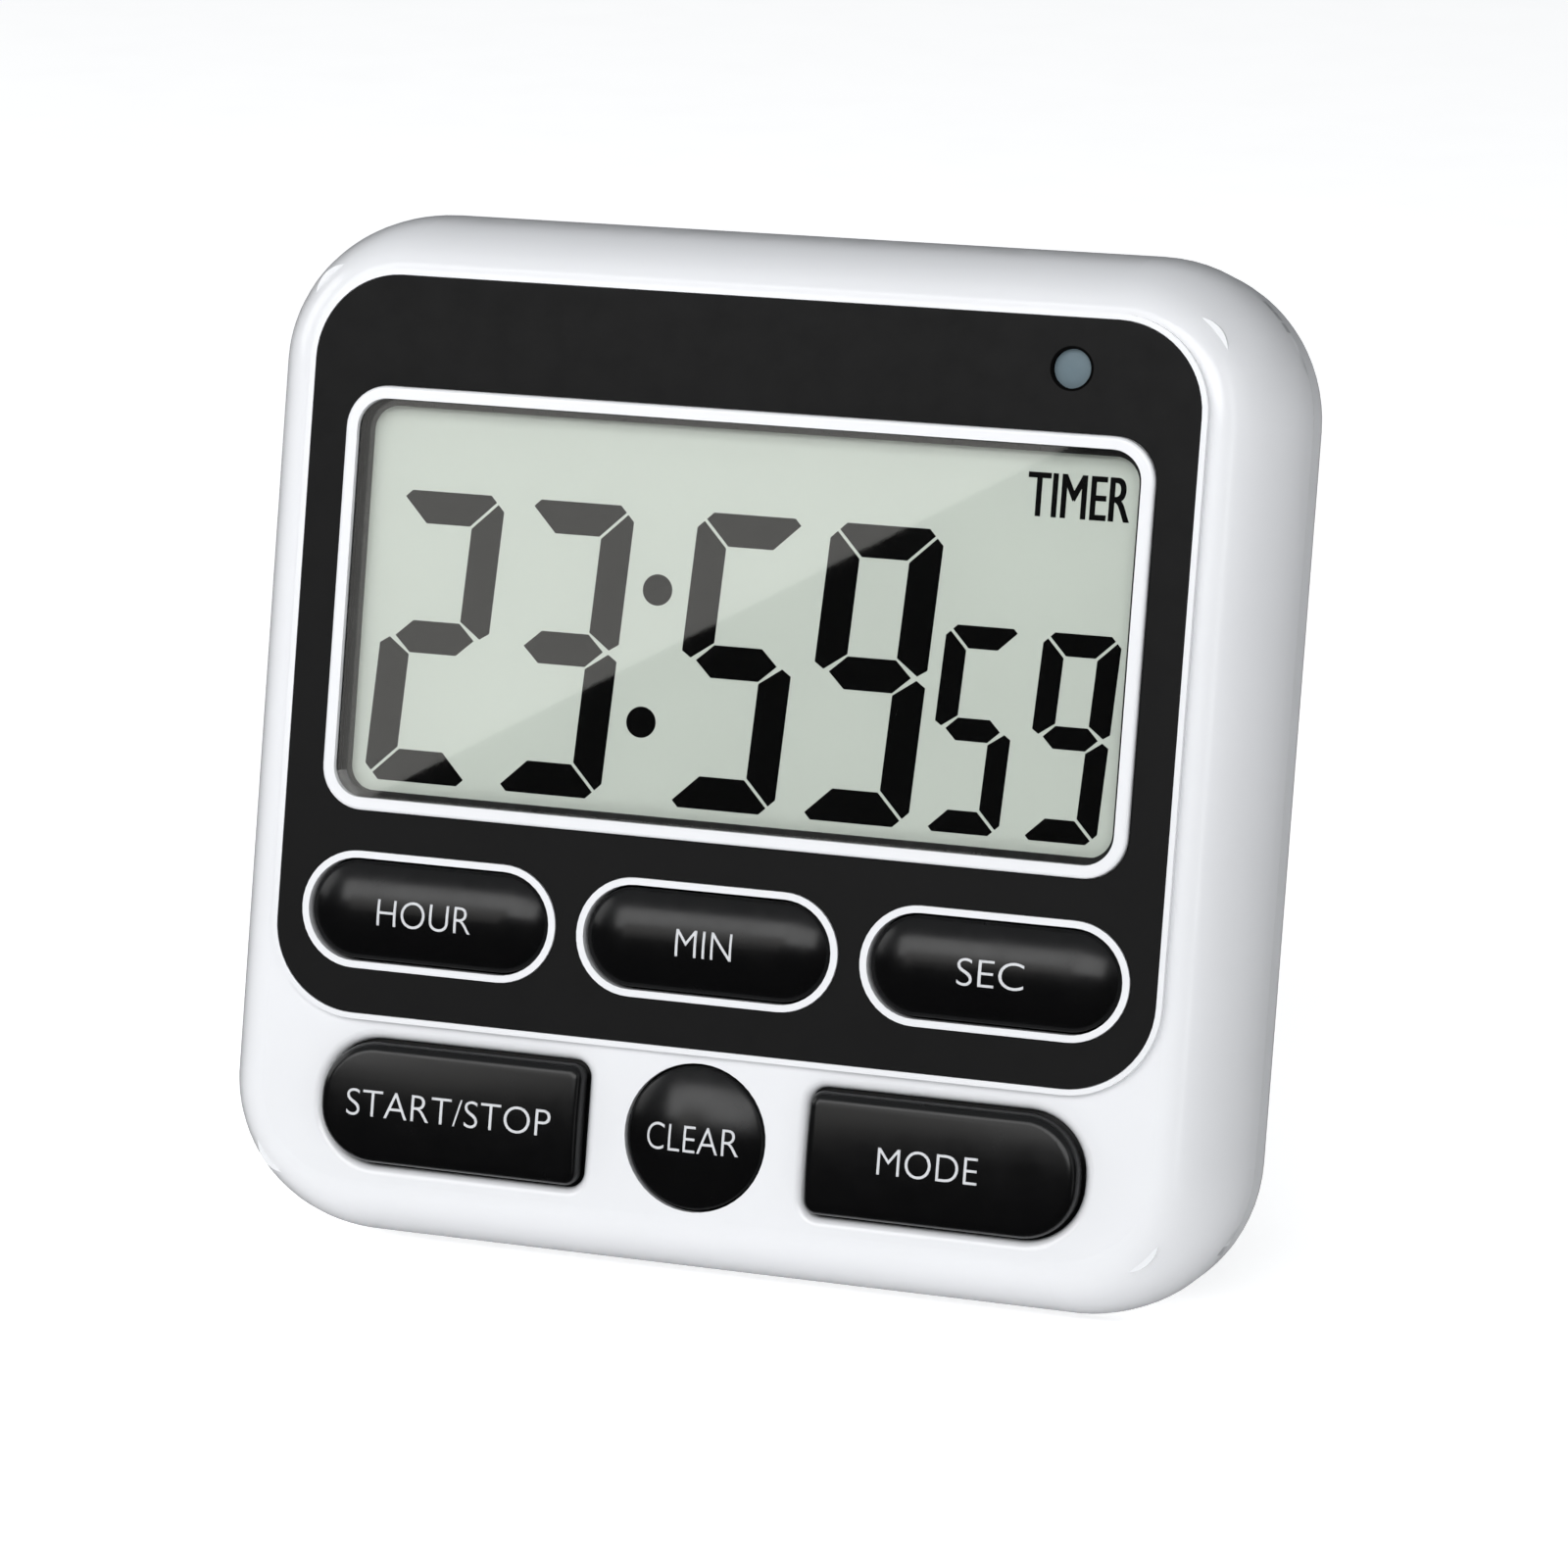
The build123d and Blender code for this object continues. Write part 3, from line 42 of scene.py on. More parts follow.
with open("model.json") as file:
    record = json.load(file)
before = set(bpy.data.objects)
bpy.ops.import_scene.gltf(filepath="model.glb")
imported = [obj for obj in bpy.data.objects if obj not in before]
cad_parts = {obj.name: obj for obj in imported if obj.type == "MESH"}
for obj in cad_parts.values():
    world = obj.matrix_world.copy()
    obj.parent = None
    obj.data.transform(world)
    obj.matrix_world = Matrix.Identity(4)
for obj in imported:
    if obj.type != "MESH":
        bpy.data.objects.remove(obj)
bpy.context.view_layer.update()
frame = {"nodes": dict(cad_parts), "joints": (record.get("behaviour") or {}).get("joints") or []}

MM = 0.001
KEYS = ("hour", "minute", "second", "start_stop", "clear", "mode")
# words, their width and how far they stand off the key's centre
LEGENDS = {
    "hour": ("HOUR", 7.9, 0.0),
    "minute": ("MIN", 4.6, 0.1),
    "second": ("SEC", 5.3, 0.0),
    "start_stop": ("START/STOP", 17.2, 0.1),
    "clear": ("CLEAR", 7.5, 0.1),
    "mode": ("MODE", 8.0, -0.9),
}
DOMED_KEYS = ("hour", "minute", "second")

# Which bars of a seven-bar figure are dark: T top, L and R upper sides, M middle, l and r lower
# sides, B bottom.
FIGURES = {"2": "TRMlB", "3": "TRMrB", "5": "TLMrB", "9": "TLRMrB"}


# ---------------------------------------------------------------- the case's own frame
def joint(name):
    """The record of one joint."""
    return next(j for j in frame["joints"] if j["name"] == name)


def node_centre(name):
    """Centre of a node's box, in metres."""
    low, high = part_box(name)
    return (low + high) / 2


DEPTH_AXIS = Vector(joint("clear_press")["axis"])
LEAN = atan2(-DEPTH_AXIS.z, DEPTH_AXIS.y)
CASE_TURN = Matrix.Rotation(-LEAN, 4, "X")


def case_point(point):
    """A point in the case's own directions: across, in depth, and up the case."""
    return CASE_TURN.inverted() @ Vector(point)


def case_box(name):
    """Lowest and highest corners of a node along the case's own directions, in millimetres."""
    corners = [case_point(v.co) / MM for v in frame["nodes"][name].data.vertices]
    low = Vector([min(c[i] for c in corners) for i in range(3)])
    high = Vector([max(c[i] for c in corners) for i in range(3)])
    return low, high


FRONT_LOW = case_box("front_housing")[0]
PANEL_LOW, PANEL_HIGH = case_box("panel_overlay")
WINDOW_LOW = case_box("display_window")[0]
FRONT_GLASS_LOW = case_box("front_glass")[0]
LAMP_LOW, LAMP_HIGH = case_box("indicator_lamp")
KEY_BOXES = {key: case_box(f"{key}_key") for key in KEYS}
KEY_CENTRES = {key: (low + high) / 2 for key, (low, high) in KEY_BOXES.items()}
ORIGIN = Vector((0.0, PANEL_LOW.y, (PANEL_LOW.z + PANEL_HIGH.z) / 2))
# Shapes are drawn in millimetres from the middle of the panel's front, then set in place.
TO_FRAME = CASE_TURN @ Matrix.Scale(MM, 4) @ Matrix.Translation(ORIGIN)


def local(corner):
    """A case-frame corner, measured from the middle of the panel's front."""
    return corner - ORIGIN


# ---------------------------------------------------------------- settings
class TimerSizes(bpy.types.PropertyGroup):
    """Sizes that the frame doesn't hold, in millimetres."""

    figure_height: FloatProperty(name="Figure height", description="Tall figures", default=23.0)
    figure_width: FloatProperty(name="Figure width", description="Tall figures", default=9.1)
    figure_bar: FloatProperty(
        name="Bar", description="Thickness of a tall figure's bars",
        default=2.55,
    )
    figure_pitch: FloatProperty(name="Pitch", description="Between tall figures", default=10.87)
    colon_pitch: FloatProperty(name="Colon pitch", description="Across the colon", default=14.35)
    figure_left: FloatProperty(name="Left", description="Foot of the first figure", default=-30.35)
    figure_foot: FloatProperty(name="Foot", description="Foot of all figures", default=-10.65)
    small_height: FloatProperty(name="Small height", description="Seconds figures", default=15.9)
    small_width: FloatProperty(name="Small width", description="Seconds figures", default=6.15)
    small_bar: FloatProperty(
        name="Small bar", description="Bars of the seconds figures",
        default=1.75,
    )
    small_pitch: FloatProperty(
        name="Small pitch", description="Between seconds figures",
        default=7.74,
    )
    small_left: FloatProperty(
        name="Small left", description="Foot of the seconds figures",
        default=15.95,
    )
    slant: FloatProperty(
        name="Slant", description="Lean of the figures",
        default=radians(3.2), subtype="ANGLE",
    )
    bar_gap: FloatProperty(name="Bar gap", description="Between a figure's bars", default=0.23)
    dot_radius: FloatProperty(name="Dot", description="Radius of the colon's dots", default=1.22)
    ink_thickness: FloatProperty(
        name="Ink", description="Thickness of printed and dark areas",
        default=0.012,
    )
    legend_height: FloatProperty(
        name="Legend height", description="Capitals on the keys",
        default=2.12,
    )
    word_width: FloatProperty(name="Word width", description="Word on the display", default=8.0)
    word_across: FloatProperty(name="Word across", description="Middle of the word", default=26.45)
    word_up: FloatProperty(name="Word up", description="Middle of the word", default=15.6)
    word_bold: FloatProperty(
        name="Word bold", description="Between its two prints and its middle",
        default=0.07,
    )
    lamp_radius: FloatProperty(name="Lamp", description="Radius of the lens", default=1.51)
    # the lamp's black edge and its sleeve are painted shade of the gap round the lens
    lamp_edge: FloatProperty(name="Lamp edge", description="Width of the black edge", default=0.19)
    lamp_lip: FloatProperty(name="Lamp lip", description="Of the edge over the panel", default=0.02)
    lamp_sink: FloatProperty(
        name="Lamp sink", description="Depth of the black edge's sleeve",
        default=0.9,
    )
    key_flange: FloatProperty(
        name="Flange", description="Beyond a key's side, and its thickness",
        default=0.8,
    )
    flange_depth: FloatProperty(
        name="Flange depth", description="Behind the case's face",
        default=1.85,
    )
    key_bevel: FloatProperty(name="Key bevel", description="Round a dome's edge", default=0.18)
    bar_dome: FloatProperty(name="Bar dome", description="Rise of the bar keys", default=1.25)
    clear_dome: FloatProperty(name="Round dome", description="Rise of the round key", default=1.5)
    low_round: FloatProperty(name="Outer corner", description="Of the long keys", default=4.45)
    low_square: FloatProperty(name="Inner corner", description="Of the long keys", default=1.1)
    low_fillet: FloatProperty(
        name="Edge", description="Rounding of the long keys' edges",
        default=0.85,
    )
    low_crown: FloatProperty(name="Crown", description="Rise of the long keys' middle", default=0.4)
    stem_length: FloatProperty(name="Stem length", description="Behind a key", default=10.0)
    stem_height: FloatProperty(name="Stem height", description="Behind a key", default=4.0)
    word_height: FloatProperty(name="Word height", description="Word on the display", default=3.35)


class TimerColours(bpy.types.PropertyGroup):
    """Colours, linear."""

    case: FloatVectorProperty(
        name="Case", description="White plastic", subtype="COLOR", size=3,
        default=(0.70, 0.708, 0.728),
    )
    panel: FloatVectorProperty(
        name="Panel", description="Black film", subtype="COLOR", size=3,
        default=(0.005, 0.005, 0.0052),
    )
    key: FloatVectorProperty(
        name="Keys", description="Black plastic", subtype="COLOR", size=3,
        default=(0.002, 0.002, 0.0022),
    )
    display: FloatVectorProperty(
        name="Display", description="Reflective ground", subtype="COLOR", size=3,
        default=(0.675, 0.725, 0.665),
    )
    figures: FloatVectorProperty(
        name="Figures", description="Dark areas of the display", subtype="COLOR", size=3,
        default=(0.002, 0.002, 0.002),
    )
    legend: FloatVectorProperty(
        name="Legend", description="Printed words", subtype="COLOR", size=3,
        default=(0.55, 0.56, 0.58),
    )
    lamp: FloatVectorProperty(
        name="Lamp", description="Tinted lens", subtype="COLOR", size=3,
        default=(0.12, 0.165, 0.19),
    )


class StageSettings(bpy.types.PropertyGroup):
    """Camera and light."""

    azimuth: FloatProperty(
        name="Azimuth", description="Camera's turn to the right",
        default=radians(19.10), subtype="ANGLE",
    )
    elevation: FloatProperty(
        name="Elevation", description="Camera's height angle",
        default=radians(15.35), subtype="ANGLE",
    )
    distance: FloatProperty(
        name="Distance", description="Camera to the panel",
        default=0.42941, unit="LENGTH",
    )
    lens: FloatProperty(name="Lens", description="Focal length in millimetres", default=128.42)
    aim_right: FloatProperty(
        name="Aim right", description="Of the panel's middle, millimetres",
        default=5.34,
    )
    aim_down: FloatProperty(
        name="Aim down", description="Of the panel's middle, millimetres",
        default=7.99,
    )
    sky: FloatProperty(name="Surrounding light", description="Strength", default=0.62)
    floor: FloatVectorProperty(
        name="Floor", description="Pale floor", subtype="COLOR", size=3,
        default=(0.88, 0.88, 0.88),
    )


def sizes():
    return bpy.context.scene.timer_sizes


def colours():
    return bpy.context.scene.timer_colours


# ---------------------------------------------------------------- materials
NOISE_LOW, NOISE_HIGH = 0.3, 0.7  # where most of a noise's values lie
NOISE_ROUGHNESS = 0.55
GRAIN_DETAIL = 2.0
GLOSS_PATCHES = 7  # patches of gloss to one patch of colour
GLOSS_CHANGE = 0.15  # share by which a solid's roughness varies
SMUDGE_SCALE = 900.0  # features per metre on a clear sheet
SMUDGE_CHANGE = 0.3
COAT_ROUGHNESS = 0.08


def new_material(name):
    """An empty node material with its output and object coordinates."""
    material = bpy.data.materials.new(name)
    material.use_nodes = True
    nodes = material.node_tree.nodes
    nodes.clear()
    output = nodes.new("ShaderNodeOutputMaterial")
    coordinates = nodes.new("ShaderNodeTexCoord")
    return material, material.node_tree, output, coordinates


def noise(tree, coordinates, scale, detail=3.0):
    """Noise over the object's own coordinates; scale is in features per metre."""
    node = tree.nodes.new("ShaderNodeTexNoise")
    node.inputs["Scale"].default_value = scale
    node.inputs["Detail"].default_value = detail
    node.inputs["Roughness"].default_value = NOISE_ROUGHNESS
    tree.links.new(coordinates.outputs["Object"], node.inputs["Vector"])
    return node


def spread(tree, source, low, high):
    """The source's middle range spread from low to high."""
    node = tree.nodes.new("ShaderNodeMapRange")
    node.inputs["From Min"].default_value = NOISE_LOW
    node.inputs["From Max"].default_value = NOISE_HIGH
    node.inputs["To Min"].default_value = low
    node.inputs["To Max"].default_value = high
    tree.links.new(source, node.inputs["Value"])
    return node.outputs["Result"]


def tinted(tree, source, colour, change):
    """The colour, a little darker and lighter with the source."""
    ramp = tree.nodes.new("ShaderNodeValToRGB")
    ramp.color_ramp.elements[0].position = NOISE_LOW
    ramp.color_ramp.elements[1].position = NOISE_HIGH
    ramp.color_ramp.elements[0].color = (*[c * (1 - change) for c in colour], 1)
    ramp.color_ramp.elements[1].color = (*[min(1.0, c * (1 + change)) for c in colour], 1)
    tree.links.new(source, ramp.inputs["Fac"])
    return ramp.outputs["Color"]


def grain(tree, coordinates, scale, height, shader):
    """Fine surface grain: height is in metres."""
    texture = noise(tree, coordinates, scale, GRAIN_DETAIL)
    bump = tree.nodes.new("ShaderNodeBump")
    bump.inputs["Strength"].default_value = 1.0
    bump.inputs["Distance"].default_value = height
    tree.links.new(texture.outputs["Fac"], bump.inputs["Height"])
    tree.links.new(bump.outputs["Normal"], shader.inputs["Normal"])


def solid_finish(name, colour, roughness, change=0.03, patches=60.0, grain_scale=6000.0,
                 grain_height=2e-6, metallic=0.0, coat=0.0, subsurface=0.0, ior=1.5, glow=0.0):
    """A plastic, rubber or metal with slight variation, grain and uneven gloss."""
    material, tree, output, coordinates = new_material(name)
    shader = tree.nodes.new("ShaderNodeBsdfPrincipled")
    shader.inputs["Metallic"].default_value = metallic
    shader.inputs["IOR"].default_value = ior
    shader.inputs["Coat Weight"].default_value = coat
    shader.inputs["Coat Roughness"].default_value = COAT_ROUGHNESS
    if glow:
        shader.inputs["Emission Color"].default_value = (*colour, 1)
        shader.inputs["Emission Strength"].default_value = glow
    if subsurface:
        shader.inputs["Subsurface Weight"].default_value = subsurface
        shader.inputs["Subsurface Scale"].default_value = MM
    broad = noise(tree, coordinates, patches)
    tree.links.new(tinted(tree, broad.outputs["Fac"], colour, change), shader.inputs["Base Color"])
    uneven = noise(tree, coordinates, patches * GLOSS_PATCHES)
    low, high = roughness * (1 - GLOSS_CHANGE), roughness * (1 + GLOSS_CHANGE)
    tree.links.new(spread(tree, uneven.outputs["Fac"], low, high), shader.inputs["Roughness"])
    grain(tree, coordinates, grain_scale, grain_height, shader)
    tree.links.new(shader.outputs["BSDF"], output.inputs["Surface"])
    return material


def clear_finish(name, colour, gloss_roughness, ior):
    """A thin clear sheet: light passes straight through, and its face mirrors a little."""
    material, tree, output, coordinates = new_material(name)
    through = tree.nodes.new("ShaderNodeBsdfTransparent")
    through.inputs["Color"].default_value = (*colour, 1)
    mirror = tree.nodes.new("ShaderNodeBsdfGlossy")
    smudge = noise(tree, coordinates, SMUDGE_SCALE)
    low, high = gloss_roughness * (1 - SMUDGE_CHANGE), gloss_roughness * (1 + SMUDGE_CHANGE)
    tree.links.new(spread(tree, smudge.outputs["Fac"], low, high), mirror.inputs["Roughness"])
    fresnel = tree.nodes.new("ShaderNodeFresnel")
    fresnel.inputs["IOR"].default_value = ior
    blend = tree.nodes.new("ShaderNodeMixShader")
    tree.links.new(fresnel.outputs["Fac"], blend.inputs["Fac"])
    tree.links.new(through.outputs["BSDF"], blend.inputs[1])
    tree.links.new(mirror.outputs["BSDF"], blend.inputs[2])
    tree.links.new(blend.outputs["Shader"], output.inputs["Surface"])
    return material


def make_finishes():
    """Every material of the timer, by name."""
    tone = colours()
    return {
        "case": solid_finish(
            "white_case_plastic", tone.case, 0.22, 0.012,
            grain_scale=9000, grain_height=6e-7, coat=0.25,
        ),
        "panel": solid_finish(
            "black_panel_film", tone.panel, 0.5, 0.06,
            grain_scale=14000, grain_height=2e-6, ior=1.22,
        ),
        "key": solid_finish(
            "black_key_plastic", tone.key, 0.24, 0.05, grain_scale=5000, grain_height=2e-7, ior=1.37
        ),
        "slider": solid_finish("black_slider_plastic", (0.012, 0.012, 0.013), 0.45, 0.05),
        "window": clear_finish("clear_window", (0.985, 0.99, 0.985), 0.015, 1.49),
        "glass": clear_finish("display_glass", (0.985, 0.99, 0.985), 0.08, 1.12),
        "polariser": solid_finish(
            "display_polariser", tone.display, 0.42, 0.008, grain_scale=16000, grain_height=1e-6
        ),
        "reflector": solid_finish(
            "display_reflector", tone.display, 0.65, 0.012, grain_scale=16000, grain_height=2e-6
        ),
        "foam": solid_finish(
            "black_foam", (0.012, 0.012, 0.012), 0.9, 0.2, grain_scale=4000, grain_height=2e-5
        ),
        "black": solid_finish("black_moulding", (0.014, 0.014, 0.015), 0.4, 0.05),
        "strip": solid_finish("contact_strip_rubber", (0.30, 0.09, 0.10), 0.6, 0.1),
        "mat": solid_finish("keypad_silicone", (0.45, 0.45, 0.43), 0.5, 0.05, subsurface=0.3),
        "carbon": solid_finish("carbon_pill", (0.008, 0.008, 0.008), 0.7, 0.2),
        "board": solid_finish("board_laminate", (0.015, 0.13, 0.05), 0.35, 0.12, patches=300),
        "epoxy": solid_finish("epoxy_drop", (0.006, 0.006, 0.006), 0.25, 0.1),
        "can": solid_finish("crystal_can", (0.62, 0.62, 0.62), 0.3, 0.05, metallic=1.0),
        "ceramic": solid_finish("component_ceramic", (0.42, 0.36, 0.27), 0.5, 0.15, patches=900),
        "lamp": solid_finish("lamp_lens", tone.lamp, 0.55, 0.03, ior=1.3),
        "cell": solid_finish("battery_sleeve", (0.09, 0.11, 0.14), 0.25, 0.1, coat=0.4),
        "spring": solid_finish("contact_nickel", (0.66, 0.65, 0.62), 0.25, 0.05, metallic=1.0),
        "magnet": solid_finish("magnet_nickel", (0.60, 0.60, 0.61), 0.22, 0.06, metallic=1.0),
        "brass": solid_finish("buzzer_brass", (0.72, 0.52, 0.22), 0.3, 0.08, metallic=1.0),
        "screw": solid_finish("screw_zinc", (0.45, 0.45, 0.47), 0.35, 0.1, metallic=1.0),
        "wire": solid_finish("wire_cover", (0.35, 0.02, 0.018), 0.4, 0.1),
        "figures": solid_finish("display_figures", tone.figures, 0.6, 0.1, ior=1.05),
        "legend": solid_finish("printed_legend", tone.legend, 0.5, 0.03),
    }


NODE_FINISHES = {
    "case": ("front_housing", "rear_housing", "battery_door", "stand"),
    "panel": ("panel_overlay",),
    "key": tuple(f"{key}_key" for key in KEYS),
    "slider": ("power_slider", "sound_slider"),
    "window": ("display_window",),
    "polariser": ("front_glass",),
    "glass": ("rear_glass",),
    "reflector": ("reflector",),
    "foam": ("display_gasket",),
    "black": ("display_holder", "switch_bodies", "power_switch_lever", "sound_switch_lever"),
    "strip": ("contact_strip",),
    "mat": ("keypad_mat",),
    "carbon": tuple(f"{key}_contact_pill" for key in KEYS),
    "board": ("circuit_board",),
    "epoxy": ("chip_cover",),
    "can": ("crystal",),
    "ceramic": ("board_components", "buzzer_ceramic"),
    "lamp": ("indicator_lamp",),
    "cell": ("battery",),
    "spring": ("battery_contact", "battery_spring"),
    "magnet": ("magnets",),
    "brass": ("buzzer_plate",),
    "screw": ("case_screws", "board_screws"),
    "wire": ("battery_wires", "lamp_wires", "buzzer_wires"),
}

finishes = {}


# ---------------------------------------------------------------- shared modelling
MERGE = 1e-5  # vertices nearer than this are one
NEAR = 1e-4  # what counts as lying at a depth, in millimetres
WORD_CUTS, WORD_LONG_CUTS = 8, 24  # strips that let words follow a curved key
FONT_STEPS = 6


def place(mesh, name, finish, body="root", replaces=(), smooth=None):
    """Sets a mesh drawn in panel millimetres in the frame, as a finished piece."""
    mesh.transform(TO_FRAME)
    mesh.update()
    if smooth is not None:
        mesh.shade_smooth()
        mesh.set_sharp_from_angle(angle=smooth)
    piece = bpy.data.objects.new(name, mesh)
    bpy.context.scene.collection.objects.link(piece)
    mesh.materials.clear()
    mesh.materials.append(finishes[finish])
    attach(piece, body)
    if replaces:
        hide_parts(*replaces)
    return piece


def to_mesh(bm, name):
    """The bmesh as a mesh with its faces outwards."""
    bmesh.ops.recalc_face_normals(bm, faces=bm.faces)
    mesh = bpy.data.meshes.new(name)
    bm.to_mesh(mesh)
    bm.free()
    return mesh


def plate(bm, outline, depth, thickness):
    """A thin plate: an outline of (across, up) points at a depth, thickened backwards."""
    corners = [bm.verts.new((x, depth, z)) for x, z in outline]
    face = bm.faces.new(corners)
    grown = bmesh.ops.extrude_face_region(bm, geom=[face])
    bmesh.ops.translate(bm, verts=moved_verts(grown), vec=(0, thickness, 0))


def text_mesh(words, height, width, thin=0.0):
    """Flat words as a mesh, centred, with capitals of the given height."""
    curve = bpy.data.curves.new(words, "FONT")
    curve.body = words
    curve.align_x = "CENTER"
    curve.offset = thin
    curve.resolution_u = FONT_STEPS
    holder = bpy.data.objects.new(words, curve)
    bpy.context.scene.collection.objects.link(holder)
    bpy.context.view_layer.update()
    evaluated = holder.evaluated_get(bpy.context.evaluated_depsgraph_get())
    mesh = bpy.data.meshes.new_from_object(evaluated)
    bpy.data.objects.remove(holder)
    bm = bmesh.new()
    bm.from_mesh(mesh)
    bpy.data.meshes.remove(mesh)
    bmesh.ops.remove_doubles(bm, verts=bm.verts, dist=MERGE)
    low = Vector([min(v.co[i] for v in bm.verts) for i in range(3)])
    high = Vector([max(v.co[i] for v in bm.verts) for i in range(3)])
    up = height / (high.y - low.y)
    across = width / (high.x - low.x)
    bmesh.ops.translate(bm, verts=bm.verts, vec=-(low + high) / 2)
    bmesh.ops.scale(bm, verts=bm.verts, vec=(across, up, 1))
    return bm


def slice_through(bm, point, normal):
    """Adds edges where a plane meets the shape, which stays whole."""
    everything = bm.verts[:] + bm.edges[:] + bm.faces[:]
    bmesh.ops.bisect_plane(bm, geom=everything, plane_co=point, plane_no=normal)


def moved_verts(grown):
    """The vertices that an extrusion made."""
    return [part for part in grown["geom"] if isinstance(part, bmesh.types.BMVert)]


def round_edges(bm, edges, radius, segments):
    """Rounds edges off."""
    bmesh.ops.bevel(
        bm, geom=edges, offset=radius, segments=segments, profile=0.5, affect="EDGES", material=-1
    )


def raise_words(bm, surface, centre, thickness):
    """Stands words up on the front, laid on a surface that gives depth from (across, up)."""
    bmesh.ops.rotate(bm, verts=bm.verts, cent=(0, 0, 0), matrix=Matrix.Rotation(pi / 2, 3, "X"))
    bmesh.ops.translate(bm, verts=bm.verts, vec=(centre[0], 0, centre[1]))
    low = min(v.co.z for v in bm.verts)
    high = max(v.co.z for v in bm.verts)
    for i in range(1, WORD_CUTS):
        cut = low + (high - low) * i / WORD_CUTS
        slice_through(bm, (0, 0, cut), (0, 0, 1))
    left = min(v.co.x for v in bm.verts)
    right = max(v.co.x for v in bm.verts)
    for i in range(1, WORD_LONG_CUTS):
        cut = left + (right - left) * i / WORD_LONG_CUTS
        slice_through(bm, (cut, 0, 0), (1, 0, 0))
    grown = bmesh.ops.extrude_face_region(bm, geom=bm.faces[:])
    front = set(moved_verts(grown))
    for vert in bm.verts:
        lift = thickness if vert in front else -thickness
        vert.co.y = surface(vert.co.x, vert.co.z) - lift


# ---------------------------------------------------------------- pieces
class TIMER_OT_finishes(bpy.types.Operator):
    """Makes the finishes and gives them to the frame's own pieces"""

    bl_idname = "timer.finishes"
    bl_label = "Finishes"

    def execute(self, context):
        finishes.update(make_finishes())
        for finish, names in NODE_FINISHES.items():
            for name in names:
                mesh = frame["nodes"][name].data
                mesh.materials.clear()
                mesh.materials.append(finishes[finish])
        return {"FINISHED"}


# shapes of a figure's bars, as shares of the bar's thickness or of the gap's slanting cut
CORNER_SHARE = 0.48
WAIST_RISE, WAIST_INSET = 0.2, 0.3
POINT_SHARE, MITRE_SHARE = 0.42, 0.3
DOT_HEIGHTS = (0.275, 0.725)  # of the colon, as shares of a tall figure
DOT_SIDES = 32
FIGURE_PROUD = 1.4  # ink thicknesses from the display's face to the figures' front
PRINT_STEP = 0.2  # ink thicknesses between each of the word's prints and their middle


def bar_outlines(width, height, bar, gap):
    """Outlines of a seven-bar figure's bars, by letter, upright from its lower left corner."""
    half = height / 2
    cut = gap / sqrt(2)
    corner = bar * CORNER_SHARE
    outer, inner = (corner + cut) / 2, (corner - cut) / 2
    top = [
        (corner, height), (width - corner, height), (width - outer, height - inner),
        (width - bar - cut, height - bar), (bar + cut, height - bar), (outer, height - inner),
    ]
    right_upper = [
        (width, height - corner), (width, half + bar * WAIST_RISE + cut),
        (width - bar * WAIST_INSET, half + cut),
        (width - bar, half + bar / 2 + cut), (width - bar, height - bar - cut),
        (width - inner, height - outer),
    ]
    middle = [
        (bar + cut * MITRE_SHARE, half + bar / 2),
        (width - bar - cut * MITRE_SHARE, half + bar / 2),
        (width - bar * POINT_SHARE - cut, half),
        (width - bar - cut * MITRE_SHARE, half - bar / 2),
        (bar + cut * MITRE_SHARE, half - bar / 2),
        (bar * POINT_SHARE + cut, half),
    ]
    flip_up = lambda points: [(x, height - z) for x, z in reversed(points)]
    flip_across = lambda points: [(width - x, z) for x, z in reversed(points)]
    return {
        "T": top,
        "B": flip_up(top),
        "R": right_upper,
        "r": flip_up(right_upper),
        "L": flip_across(right_upper),
        "l": flip_up(flip_across(right_upper)),
        "M": middle,
    }


